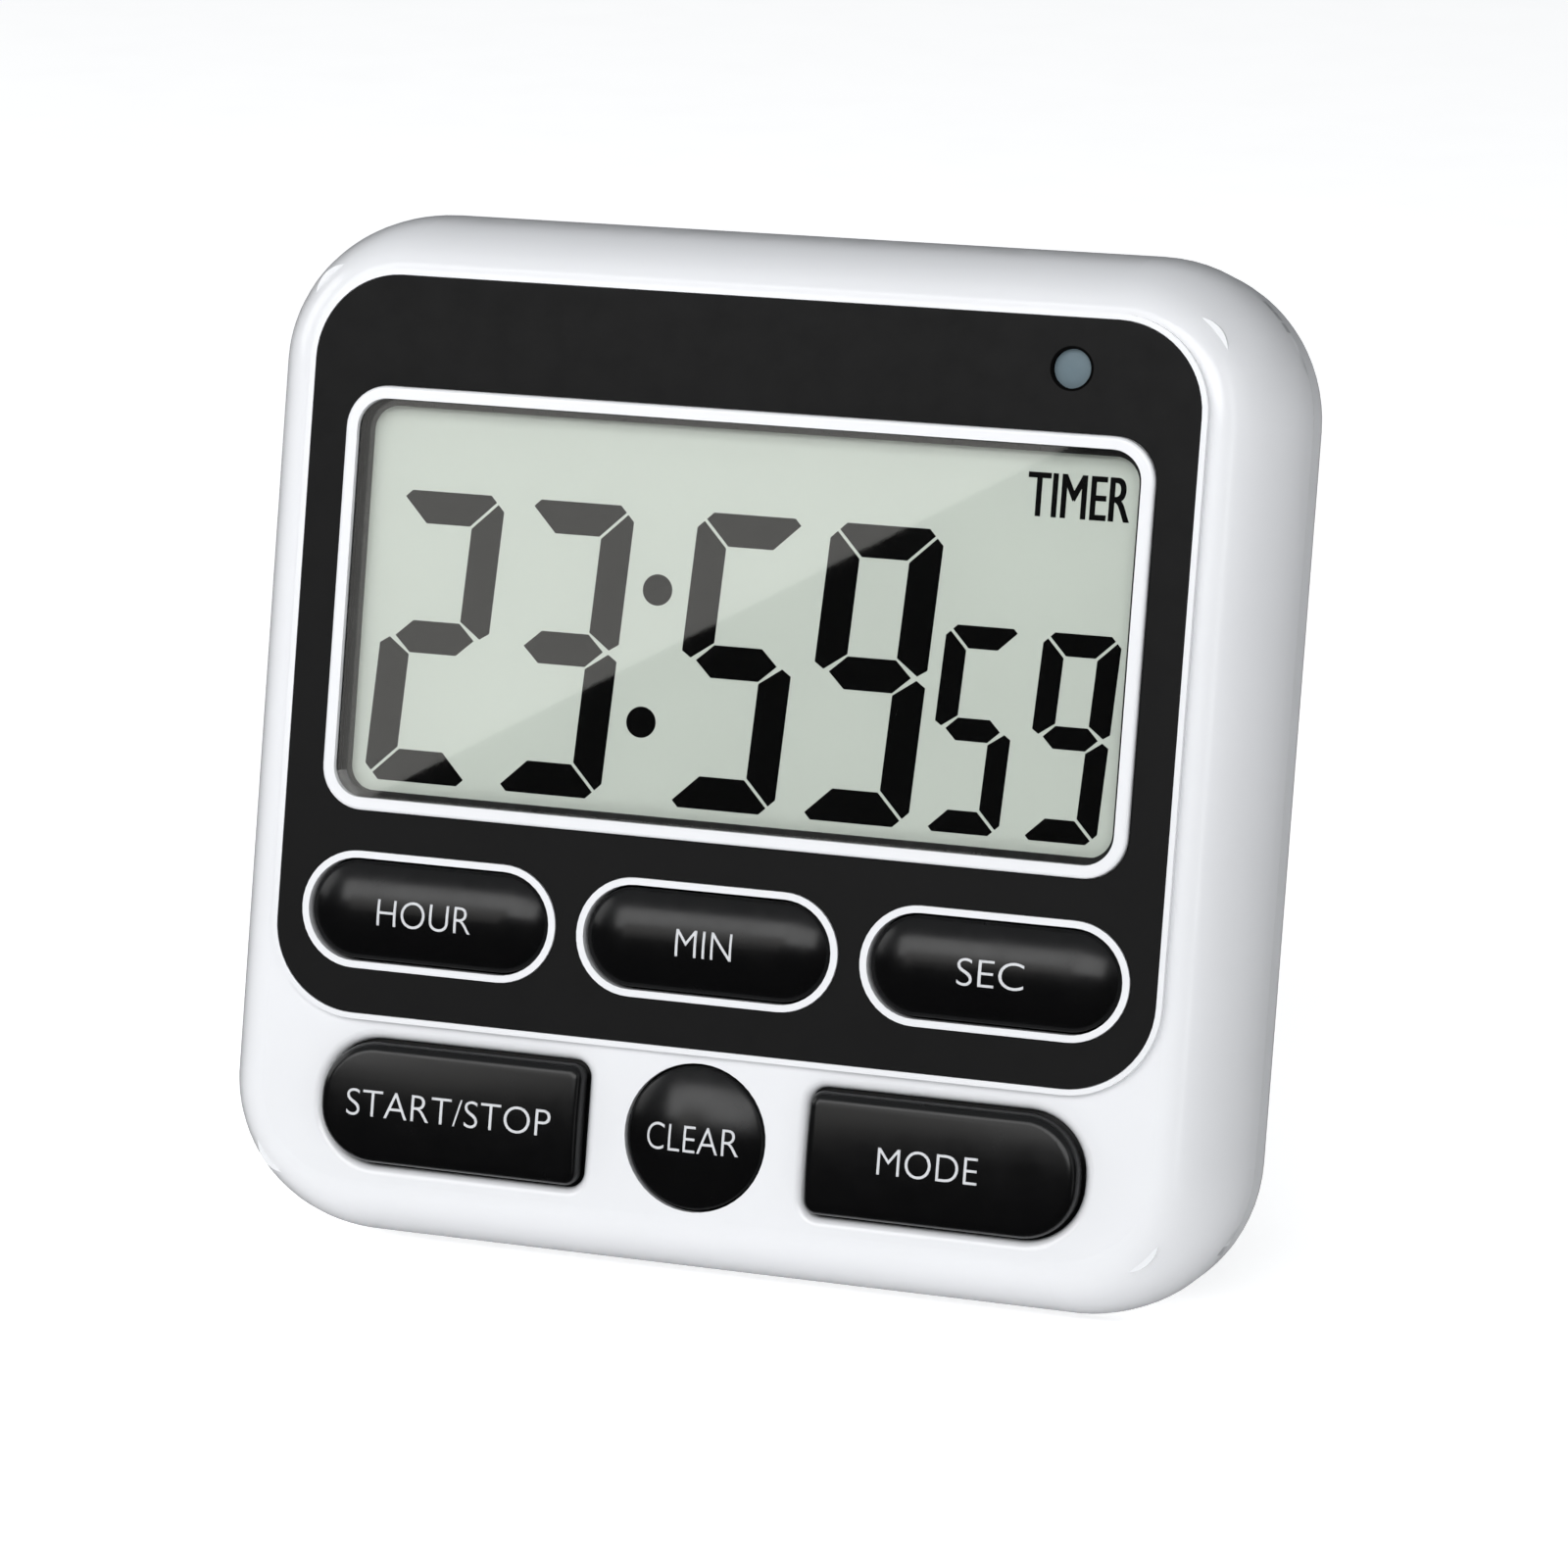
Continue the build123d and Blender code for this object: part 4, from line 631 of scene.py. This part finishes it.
class TIMER_OT_display(bpy.types.Operator):
    """Makes the display's figures, colon and word"""

    bl_idname = "timer.display"
    bl_label = "Display"

    def execute(self, context):
        s = sizes()
        # the figures are seen just under the polariser, so they are set on its face
        depth = local(FRONT_GLASS_LOW).y - s.ink_thickness * FIGURE_PROUD
        bm = bmesh.new()
        lean = sin(s.slant) / cos(s.slant)

        def figure(letter_set, left, width, height, bar):
            for letter in letter_set:
                outline = bar_outlines(width, height, bar, s.bar_gap)[letter]
                leaning = [(left + x + lean * z, s.figure_foot + z) for x, z in outline]
                plate(bm, leaning, depth, s.ink_thickness)

        lefts = [
            s.figure_left,
            s.figure_left + s.figure_pitch,
            s.figure_left + s.figure_pitch + s.colon_pitch,
            s.figure_left + 2 * s.figure_pitch + s.colon_pitch,
        ]
        for digit, left in zip("2359", lefts):
            figure(FIGURES[digit], left, s.figure_width, s.figure_height, s.figure_bar)
        for digit, step in zip("59", (0, 1)):
            left = s.small_left + step * s.small_pitch
            figure(FIGURES[digit], left, s.small_width, s.small_height, s.small_bar)
        dots = lefts[1] + s.figure_width + (lefts[2] - lefts[1] - s.figure_width) / 2
        for share in DOT_HEIGHTS:
            up = s.figure_height * share
            across = dots + lean * up
            ring = [
                (across + s.dot_radius * cos(a), s.figure_foot + up + s.dot_radius * sin(a))
                for a in (2 * pi * i / DOT_SIDES for i in range(DOT_SIDES))
            ]
            plate(bm, ring, depth, s.ink_thickness)
        place(to_mesh(bm, "display_figures"), "display_figures", "figures")
        # two prints of the word, a little apart, make its heavier strokes
        for step, part in ((-1, "a"), (1, "b")):
            word = text_mesh("TIMER", s.word_height, s.word_width)
            front = depth + s.ink_thickness * (0.5 + PRINT_STEP * step)
            centre = (s.word_across + step * s.word_bold, s.word_up)
            raise_words(word, lambda x, z: front, centre, s.ink_thickness / 2)
            name = f"display_word_{part}"
            place(to_mesh(word, name), name, "figures")
        return {"FINISHED"}


def dome_rise(key):
    """How far a turned key's dome rises over its edge, in millimetres."""
    return sizes().clear_dome if key == "clear" else sizes().bar_dome


def key_spans(key):
    """A key's front depth, middle, half length and half height without its flange."""
    low, high = local(KEY_BOXES[key][0]), local(KEY_BOXES[key][1])
    flange = sizes().key_flange
    centre = (low + high) / 2
    return low.y, centre, (high.x - low.x) / 2 - flange, (high.z - low.z) / 2 - flange


def key_surface(key):
    """Depth of the key's front at a place (across, up), from the panel's middle."""
    front, centre, _, half_tall = key_spans(key)
    if key in ("start_stop", "mode"):
        return lambda x, z: front + sizes().low_crown * ((z - centre.z) / half_tall) ** 2
    rise = dome_rise(key)
    radius = (half_tall**2 + rise**2) / (2 * rise)
    if key == "clear":
        return lambda x, z: front + radius - sqrt(
            radius**2 - (z - centre.z) ** 2 - (x - centre.x) ** 2
        )
    return lambda x, z: front + radius - sqrt(radius**2 - (z - centre.z) ** 2)


def disc(bm, radius, stretch, centre, depth, segments=64):
    """A flat slot-shaped face on the front, its halves stretched apart; returns the face."""
    turn = Matrix.Rotation(pi / 2, 4, "X") @ Matrix.Rotation(pi / segments, 4, "Z")
    ring = bmesh.ops.create_circle(
        bm, cap_ends=True, radius=radius, segments=segments, matrix=turn
    )["verts"]
    for vert in ring:
        vert.co.x += stretch if vert.co.x > 0 else -stretch
    bmesh.ops.translate(bm, verts=ring, vec=(centre.x, depth, centre.z))
    face = ring[0].link_faces[0]
    face.normal_update()
    if face.normal.y > 0:
        face.normal_flip()
    return face


def raise_face(bm, face, amount):
    """Extrudes a face straight forwards, towards smaller depth."""
    grown = bmesh.ops.extrude_face_region(bm, geom=[face])
    bmesh.ops.translate(bm, verts=moved_verts(grown), vec=(0, -amount, 0))
    return next(part for part in grown["geom"] if isinstance(part, bmesh.types.BMFace))


def plunger(bm, key, back):
    """The stem behind a key's flange."""
    low, high = local(KEY_BOXES[key][0]), local(KEY_BOXES[key][1])
    centre = (low + high) / 2
    s = sizes()
    deep = high.y - back
    cube = bmesh.ops.create_cube(bm, size=1.0)["verts"]
    width = s.stem_height if key == "clear" else s.stem_length
    bmesh.ops.scale(bm, verts=cube, vec=(width, deep, s.stem_height))
    bmesh.ops.translate(bm, verts=cube, vec=(centre.x, back + deep / 2, centre.z))


DOME_STEPS = 14  # rings of a dome
DOME_REACH = 0.985  # share of the way to the middle that they cover
CROWN_CUTS = 8  # strips in each half of a long key
UPRIGHT = 0.1  # an edge at least this deep runs front to back, in millimetres
CORNER_SEGMENTS = 14
DOME_EDGE_SEGMENTS = 4
LOW_EDGE_SEGMENTS = 8
KEY_SMOOTH = radians(35)


def place_cap(bm, key):
    """Sets a key's shape in the frame, in place of its plain solid."""
    name, node = f"{key}_cap", f"{key}_key"
    place(to_mesh(bm, name), name, "key", node, (node,), KEY_SMOOTH)


class TIMER_OT_turned_keys(bpy.types.Operator):
    """Makes the three domed bar keys and the round key"""

    bl_idname = "timer.turned_keys"
    bl_label = "Domed keys"

    def execute(self, context):
        s = sizes()
        for key in (*DOMED_KEYS, "clear"):
            front, centre, half_long, half_tall = key_spans(key)
            rise = dome_rise(key)
            stretch = half_long - half_tall
            flange_front = local(FRONT_LOW).y + s.flange_depth
            bm = bmesh.new()
            flange_back = flange_front + s.key_flange
            face = disc(bm, half_tall + s.key_flange, stretch, centre, flange_back)
            rear = disc(bm, half_tall + s.key_flange, stretch, centre, flange_back)
            bmesh.ops.reverse_faces(bm, faces=[rear])
            bmesh.ops.remove_doubles(bm, verts=bm.verts, dist=MERGE)
            face = raise_face(bm, face, s.key_flange)
            bmesh.ops.inset_individual(
                bm, faces=[face], thickness=s.key_flange, use_even_offset=True
            )
            edge_depth = front + rise
            face = raise_face(bm, face, flange_front - edge_depth)
            rim = list(face.edges)
            radius = (half_tall**2 + rise**2) / (2 * rise)
            reach, high = half_tall, 0.0
            for i in range(1, DOME_STEPS + 1):
                next_reach = half_tall * (1 - DOME_REACH * i / DOME_STEPS)
                next_high = rise - (radius - sqrt(radius**2 - next_reach**2))
                bmesh.ops.inset_individual(
                    bm, faces=[face], thickness=reach - next_reach, depth=next_high - high,
                    use_even_offset=True,
                )
                reach, high = next_reach, next_high
            round_edges(bm, rim, s.key_bevel, DOME_EDGE_SEGMENTS)
            plunger(bm, key, flange_back)
            place_cap(bm, key)
        return {"FINISHED"}


class TIMER_OT_crowned_keys(bpy.types.Operator):
    """Makes the two long lower keys, rounder at their outer ends"""

    bl_idname = "timer.crowned_keys"
    bl_label = "Long keys"

    def execute(self, context):
        s = sizes()
        for key, side in (("start_stop", -1), ("mode", 1)):
            front, centre, half_long, half_tall = key_spans(key)
            flange_front = local(FRONT_LOW).y + s.flange_depth
            bm = bmesh.new()
            flange_back = flange_front + s.key_flange
            blocks = ((s.key_flange, flange_front, flange_back), (0.0, front, flange_front))
            for grow, near, far in blocks:
                cube = bmesh.ops.create_cube(bm, size=1.0)["verts"]
                block = (2 * (half_long + grow), far - near, 2 * (half_tall + grow))
                bmesh.ops.scale(bm, verts=cube, vec=block)
                bmesh.ops.translate(bm, verts=cube, vec=(centre.x, (near + far) / 2, centre.z))
                for end, corner in ((side, s.low_round + grow), (-side, s.low_square + grow)):
                    uprights = [
                        edge for edge in {e for v in cube if v.is_valid for e in v.link_edges}
                        if abs(edge.verts[0].co.y - edge.verts[1].co.y) > UPRIGHT
                        and all((v.co.x - centre.x) * end > 0 for v in edge.verts)
                        and abs(edge.verts[0].co.x - edge.verts[1].co.x) < NEAR
                    ]
                    round_edges(bm, uprights, corner, CORNER_SEGMENTS)
            rim = [edge for edge in bm.edges if all(abs(v.co.y - front) < NEAR for v in edge.verts)]
            round_edges(bm, rim, s.low_fillet, LOW_EDGE_SEGMENTS)
            for i in range(1, 2 * CROWN_CUTS):
                slice_through(bm, (0, 0, centre.z + half_tall * (i / CROWN_CUTS - 1)), (0, 0, 1))
            for vert in bm.verts:
                if vert.co.y < front + s.low_fillet + NEAR:
                    vert.co.y += s.low_crown * ((vert.co.z - centre.z) / half_tall) ** 2
            plunger(bm, key, flange_back)
            place_cap(bm, key)
        return {"FINISHED"}


RING_STEPS = 48
RING_SMOOTH = radians(30)
LEGEND_THIN = -0.012  # takes a little off the letters' strokes


class TIMER_OT_lamp_gap_shade(bpy.types.Operator):
    """Makes the thin black edge round the lamp: painted shade, a black lip and sleeve that darken
    the gap round the lens
    """

    bl_idname = "timer.lamp_ring"
    bl_label = "Lamp ring"

    def execute(self, context):
        s = sizes()
        centre = (local(LAMP_LOW) + local(LAMP_HIGH)) / 2
        bm = bmesh.new()
        outer = s.lamp_radius + s.lamp_edge
        profile = [
            (s.lamp_radius, s.lamp_sink), (s.lamp_radius, -s.lamp_lip),
            (outer, -s.lamp_lip), (outer, s.lamp_lip),
        ]
        corners = [bm.verts.new((centre.x + r, y, centre.z)) for r, y in profile]
        edges = [bm.edges.new(pair) for pair in zip(corners, corners[1:])]
        bmesh.ops.spin(
            bm, geom=corners + edges, cent=(centre.x, 0, centre.z), axis=(0, 1, 0), angle=2 * pi,
            steps=RING_STEPS, use_merge=True,
        )
        # painted shade: the ring takes the figures' black, with almost no gloss, so the gap round
        # the lens shows dark
        place(to_mesh(bm, "lamp_ring"), "lamp_ring", "figures", smooth=RING_SMOOTH)
        return {"FINISHED"}


class TIMER_OT_legends(bpy.types.Operator):
    """Prints the keys' legends"""

    bl_idname = "timer.legends"
    bl_label = "Legends"

    def execute(self, context):
        s = sizes()
        for key, (words, width, shift) in LEGENDS.items():
            bm = text_mesh(words, s.legend_height, width, LEGEND_THIN)
            centre = local(KEY_CENTRES[key])
            raise_words(bm, key_surface(key), (centre.x + shift, centre.z), s.ink_thickness)
            name = f"{key}_legend"
            place(to_mesh(bm, name), name, "legend", f"{key}_key")
        return {"FINISHED"}


# softboxes: name, place and size in metres, and power in watts
SOFTBOXES = (
    ("front_softbox", (-0.05, -0.72, 0.52), (1.3, 0.42), 6.6),
    ("left_softbox", (-0.75, -0.10, 0.35), (0.4, 0.4), 0.9),
    ("right_strip", (0.62, -0.30, 0.20), (0.08, 0.7), 0.3),
)
# what the glare covers on the window: (across, up) from the panel's middle, in millimetres
GLARE_CORNERS = ((-44.0, -20.57), (50.0, 33.12), (50.0, 60.0), (-44.0, 60.0))
GLARE_REACH = 1.2  # the card's distance behind the mirror point, in camera distances
GLARE_STRENGTH = 1.55
CARD_COLOUR = (1.0, 0.985, 0.95, 1)
CARD_PATCHES, CARD_CHANGE = 2.0, 0.05
# the surroundings' grey from straight down, 0, to straight up, 1
SKY_STOPS = ((0.0, 0.02), (0.60, 0.04), (0.72, 0.6), (1.0, 0.8))
SKY_TINT = (0.95, 0.975, 1.0)
FLOOR_HALF = 8.0
FLOOR_DROP = 0.00002  # keeps the floor just under the timer
FLOOR_GLOW = 0.62


def soft_light(name, location, target, size, power):
    """A rectangular softbox that faces its target."""
    lamp = bpy.data.lights.new(name, "AREA")
    lamp.shape = "RECTANGLE"
    lamp.size, lamp.size_y = size
    lamp.energy = power
    box = bpy.data.objects.new(name, lamp)
    bpy.context.scene.collection.objects.link(box)
    box.location = location
    facing = (Vector(target) - Vector(location)).to_track_quat("-Z", "Y")
    box.rotation_euler = facing.to_euler()
    box.visible_camera = False


def gloss_card(name, corners, strength):
    """A bright card that only shows in glossy surfaces; corners are in panel millimetres."""
    bm = bmesh.new()
    bm.faces.new([bm.verts.new(corner) for corner in corners])
    mesh = bpy.data.meshes.new(name)
    bm.to_mesh(mesh)
    bm.free()
    mesh.transform(TO_FRAME)
    material, tree, output, coordinates = new_material(f"{name}_light")
    light = tree.nodes.new("ShaderNodeEmission")
    patches = noise(tree, coordinates, CARD_PATCHES)
    low, high = strength * (1 - CARD_CHANGE), strength * (1 + CARD_CHANGE)
    tree.links.new(spread(tree, patches.outputs["Fac"], low, high), light.inputs["Strength"])
    light.inputs["Color"].default_value = CARD_COLOUR
    tree.links.new(light.outputs["Emission"], output.inputs["Surface"])
    mesh.materials.append(material)
    card = bpy.data.objects.new(name, mesh)
    bpy.context.scene.collection.objects.link(card)
    card.visible_camera = False
    card.visible_diffuse = False
    card.visible_shadow = False


def glare_card(eye):
    """The card that the display window mirrors over its upper left part."""
    start = TO_FRAME.inverted() @ eye
    pane = local(WINDOW_LOW).y
    corners = []
    for x, z in GLARE_CORNERS:
        step = Vector((x, pane, z)) - start
        step.y = -step.y
        corners.append(Vector((x, pane, z)) + step * GLARE_REACH)
    gloss_card("glare_card", corners, GLARE_STRENGTH)


def surroundings(strength):
    """Light from all round, dark below the horizon for what mirrors it."""
    world = bpy.data.worlds.new("studio")
    bpy.context.scene.world = world
    world.use_nodes = True
    tree = world.node_tree
    sky = tree.nodes["Background"]
    direction = tree.nodes.new("ShaderNodeTexCoord")
    split = tree.nodes.new("ShaderNodeSeparateXYZ")
    ramp = tree.nodes.new("ShaderNodeValToRGB")
    level = tree.nodes.new("ShaderNodeMapRange")
    level.inputs["From Min"].default_value = -1.0
    level.inputs["From Max"].default_value = 1.0
    tree.links.new(direction.outputs["Generated"], split.inputs["Vector"])
    tree.links.new(split.outputs["Z"], level.inputs["Value"])
    tree.links.new(level.outputs["Result"], ramp.inputs["Fac"])
    tree.links.new(ramp.outputs["Color"], sky.inputs["Color"])
    steps = ramp.color_ramp.elements
    while len(steps) < len(SKY_STOPS):
        steps.new(0.5)
    for step, (place_at, grey) in zip(steps, SKY_STOPS):
        step.position = place_at
        step.color = (*[grey * tint for tint in SKY_TINT], 1)
    sky.inputs["Strength"].default_value = strength


class TIMER_OT_stage(bpy.types.Operator):
    """Makes the floor, the soft lights and the camera"""

    bl_idname = "timer.stage"
    bl_label = "Stage"

    def execute(self, context):
        stage = context.scene.timer_stage
        bm = bmesh.new()
        bmesh.ops.create_grid(bm, x_segments=1, y_segments=1, size=FLOOR_HALF)
        mesh = bpy.data.meshes.new("floor")
        bm.to_mesh(mesh)
        bm.free()
        floor = bpy.data.objects.new("floor", mesh)
        floor.location.z = -FLOOR_DROP
        context.scene.collection.objects.link(floor)
        mesh.materials.append(
            solid_finish(
                "pale_floor", stage.floor, 0.75, 0.004, patches=8,
                grain_scale=900, grain_height=1e-5, glow=FLOOR_GLOW,
            )
        )
        floor.visible_glossy = False
        surroundings(stage.sky)
        middle = node_centre("display_window")
        for name, location, size, power in SOFTBOXES:
            soft_light(name, location, middle, size, power)
        camera_data = bpy.data.cameras.new("camera")
        camera_data.lens = stage.lens
        camera_data.sensor_width = 36.0
        camera_data.clip_start = 0.01
        camera_data.clip_end = 50
        camera = bpy.data.objects.new("camera", camera_data)
        context.scene.collection.objects.link(camera)
        aim = TO_FRAME @ Vector((stage.aim_right, 0.0, -stage.aim_down))
        back = Vector((
            sin(stage.azimuth) * cos(stage.elevation),
            -cos(stage.azimuth) * cos(stage.elevation),
            sin(stage.elevation),
        ))
        camera.location = aim + back * stage.distance
        camera.rotation_euler = (-back).to_track_quat("-Z", "Y").to_euler()
        context.scene.camera = camera
        glare_card(camera.location)
        context.scene.view_settings.view_transform = "Standard"
        return {"FINISHED"}


class TIMER_PT_panel(bpy.types.Panel):
    """The timer's pieces in the sidebar"""

    bl_idname = "TIMER_PT_panel"
    bl_label = "Lab timer"
    bl_space_type = "VIEW_3D"
    bl_region_type = "UI"
    bl_category = "Timer"

    def draw(self, context):
        for operator in OPERATORS:
            self.layout.operator(operator.bl_idname)


OPERATORS = (
    TIMER_OT_finishes,
    TIMER_OT_turned_keys,
    TIMER_OT_crowned_keys,
    TIMER_OT_display,
    TIMER_OT_lamp_gap_shade,
    TIMER_OT_legends,
    TIMER_OT_stage,
)
SETTINGS = (TimerSizes, TimerColours, StageSettings)


def register():
    for cls in (*SETTINGS, *OPERATORS, TIMER_PT_panel):
        bpy.utils.register_class(cls)
    bpy.types.Scene.timer_sizes = PointerProperty(type=TimerSizes)
    bpy.types.Scene.timer_colours = PointerProperty(type=TimerColours)
    bpy.types.Scene.timer_stage = PointerProperty(type=StageSettings)


def unregister():
    for name in ("timer_sizes", "timer_colours", "timer_stage"):
        delattr(bpy.types.Scene, name)
    for cls in reversed((*SETTINGS, *OPERATORS, TIMER_PT_panel)):
        bpy.utils.unregister_class(cls)


def main():
    """Makes everything."""
    register()
    bpy.ops.timer.finishes()
    bpy.ops.timer.turned_keys()
    bpy.ops.timer.crowned_keys()
    bpy.ops.timer.display()
    bpy.ops.timer.lamp_ring()
    bpy.ops.timer.legends()
    bpy.ops.timer.stage()
    bpy.context.view_layer.update()


if __name__ == "__main__":
    main()
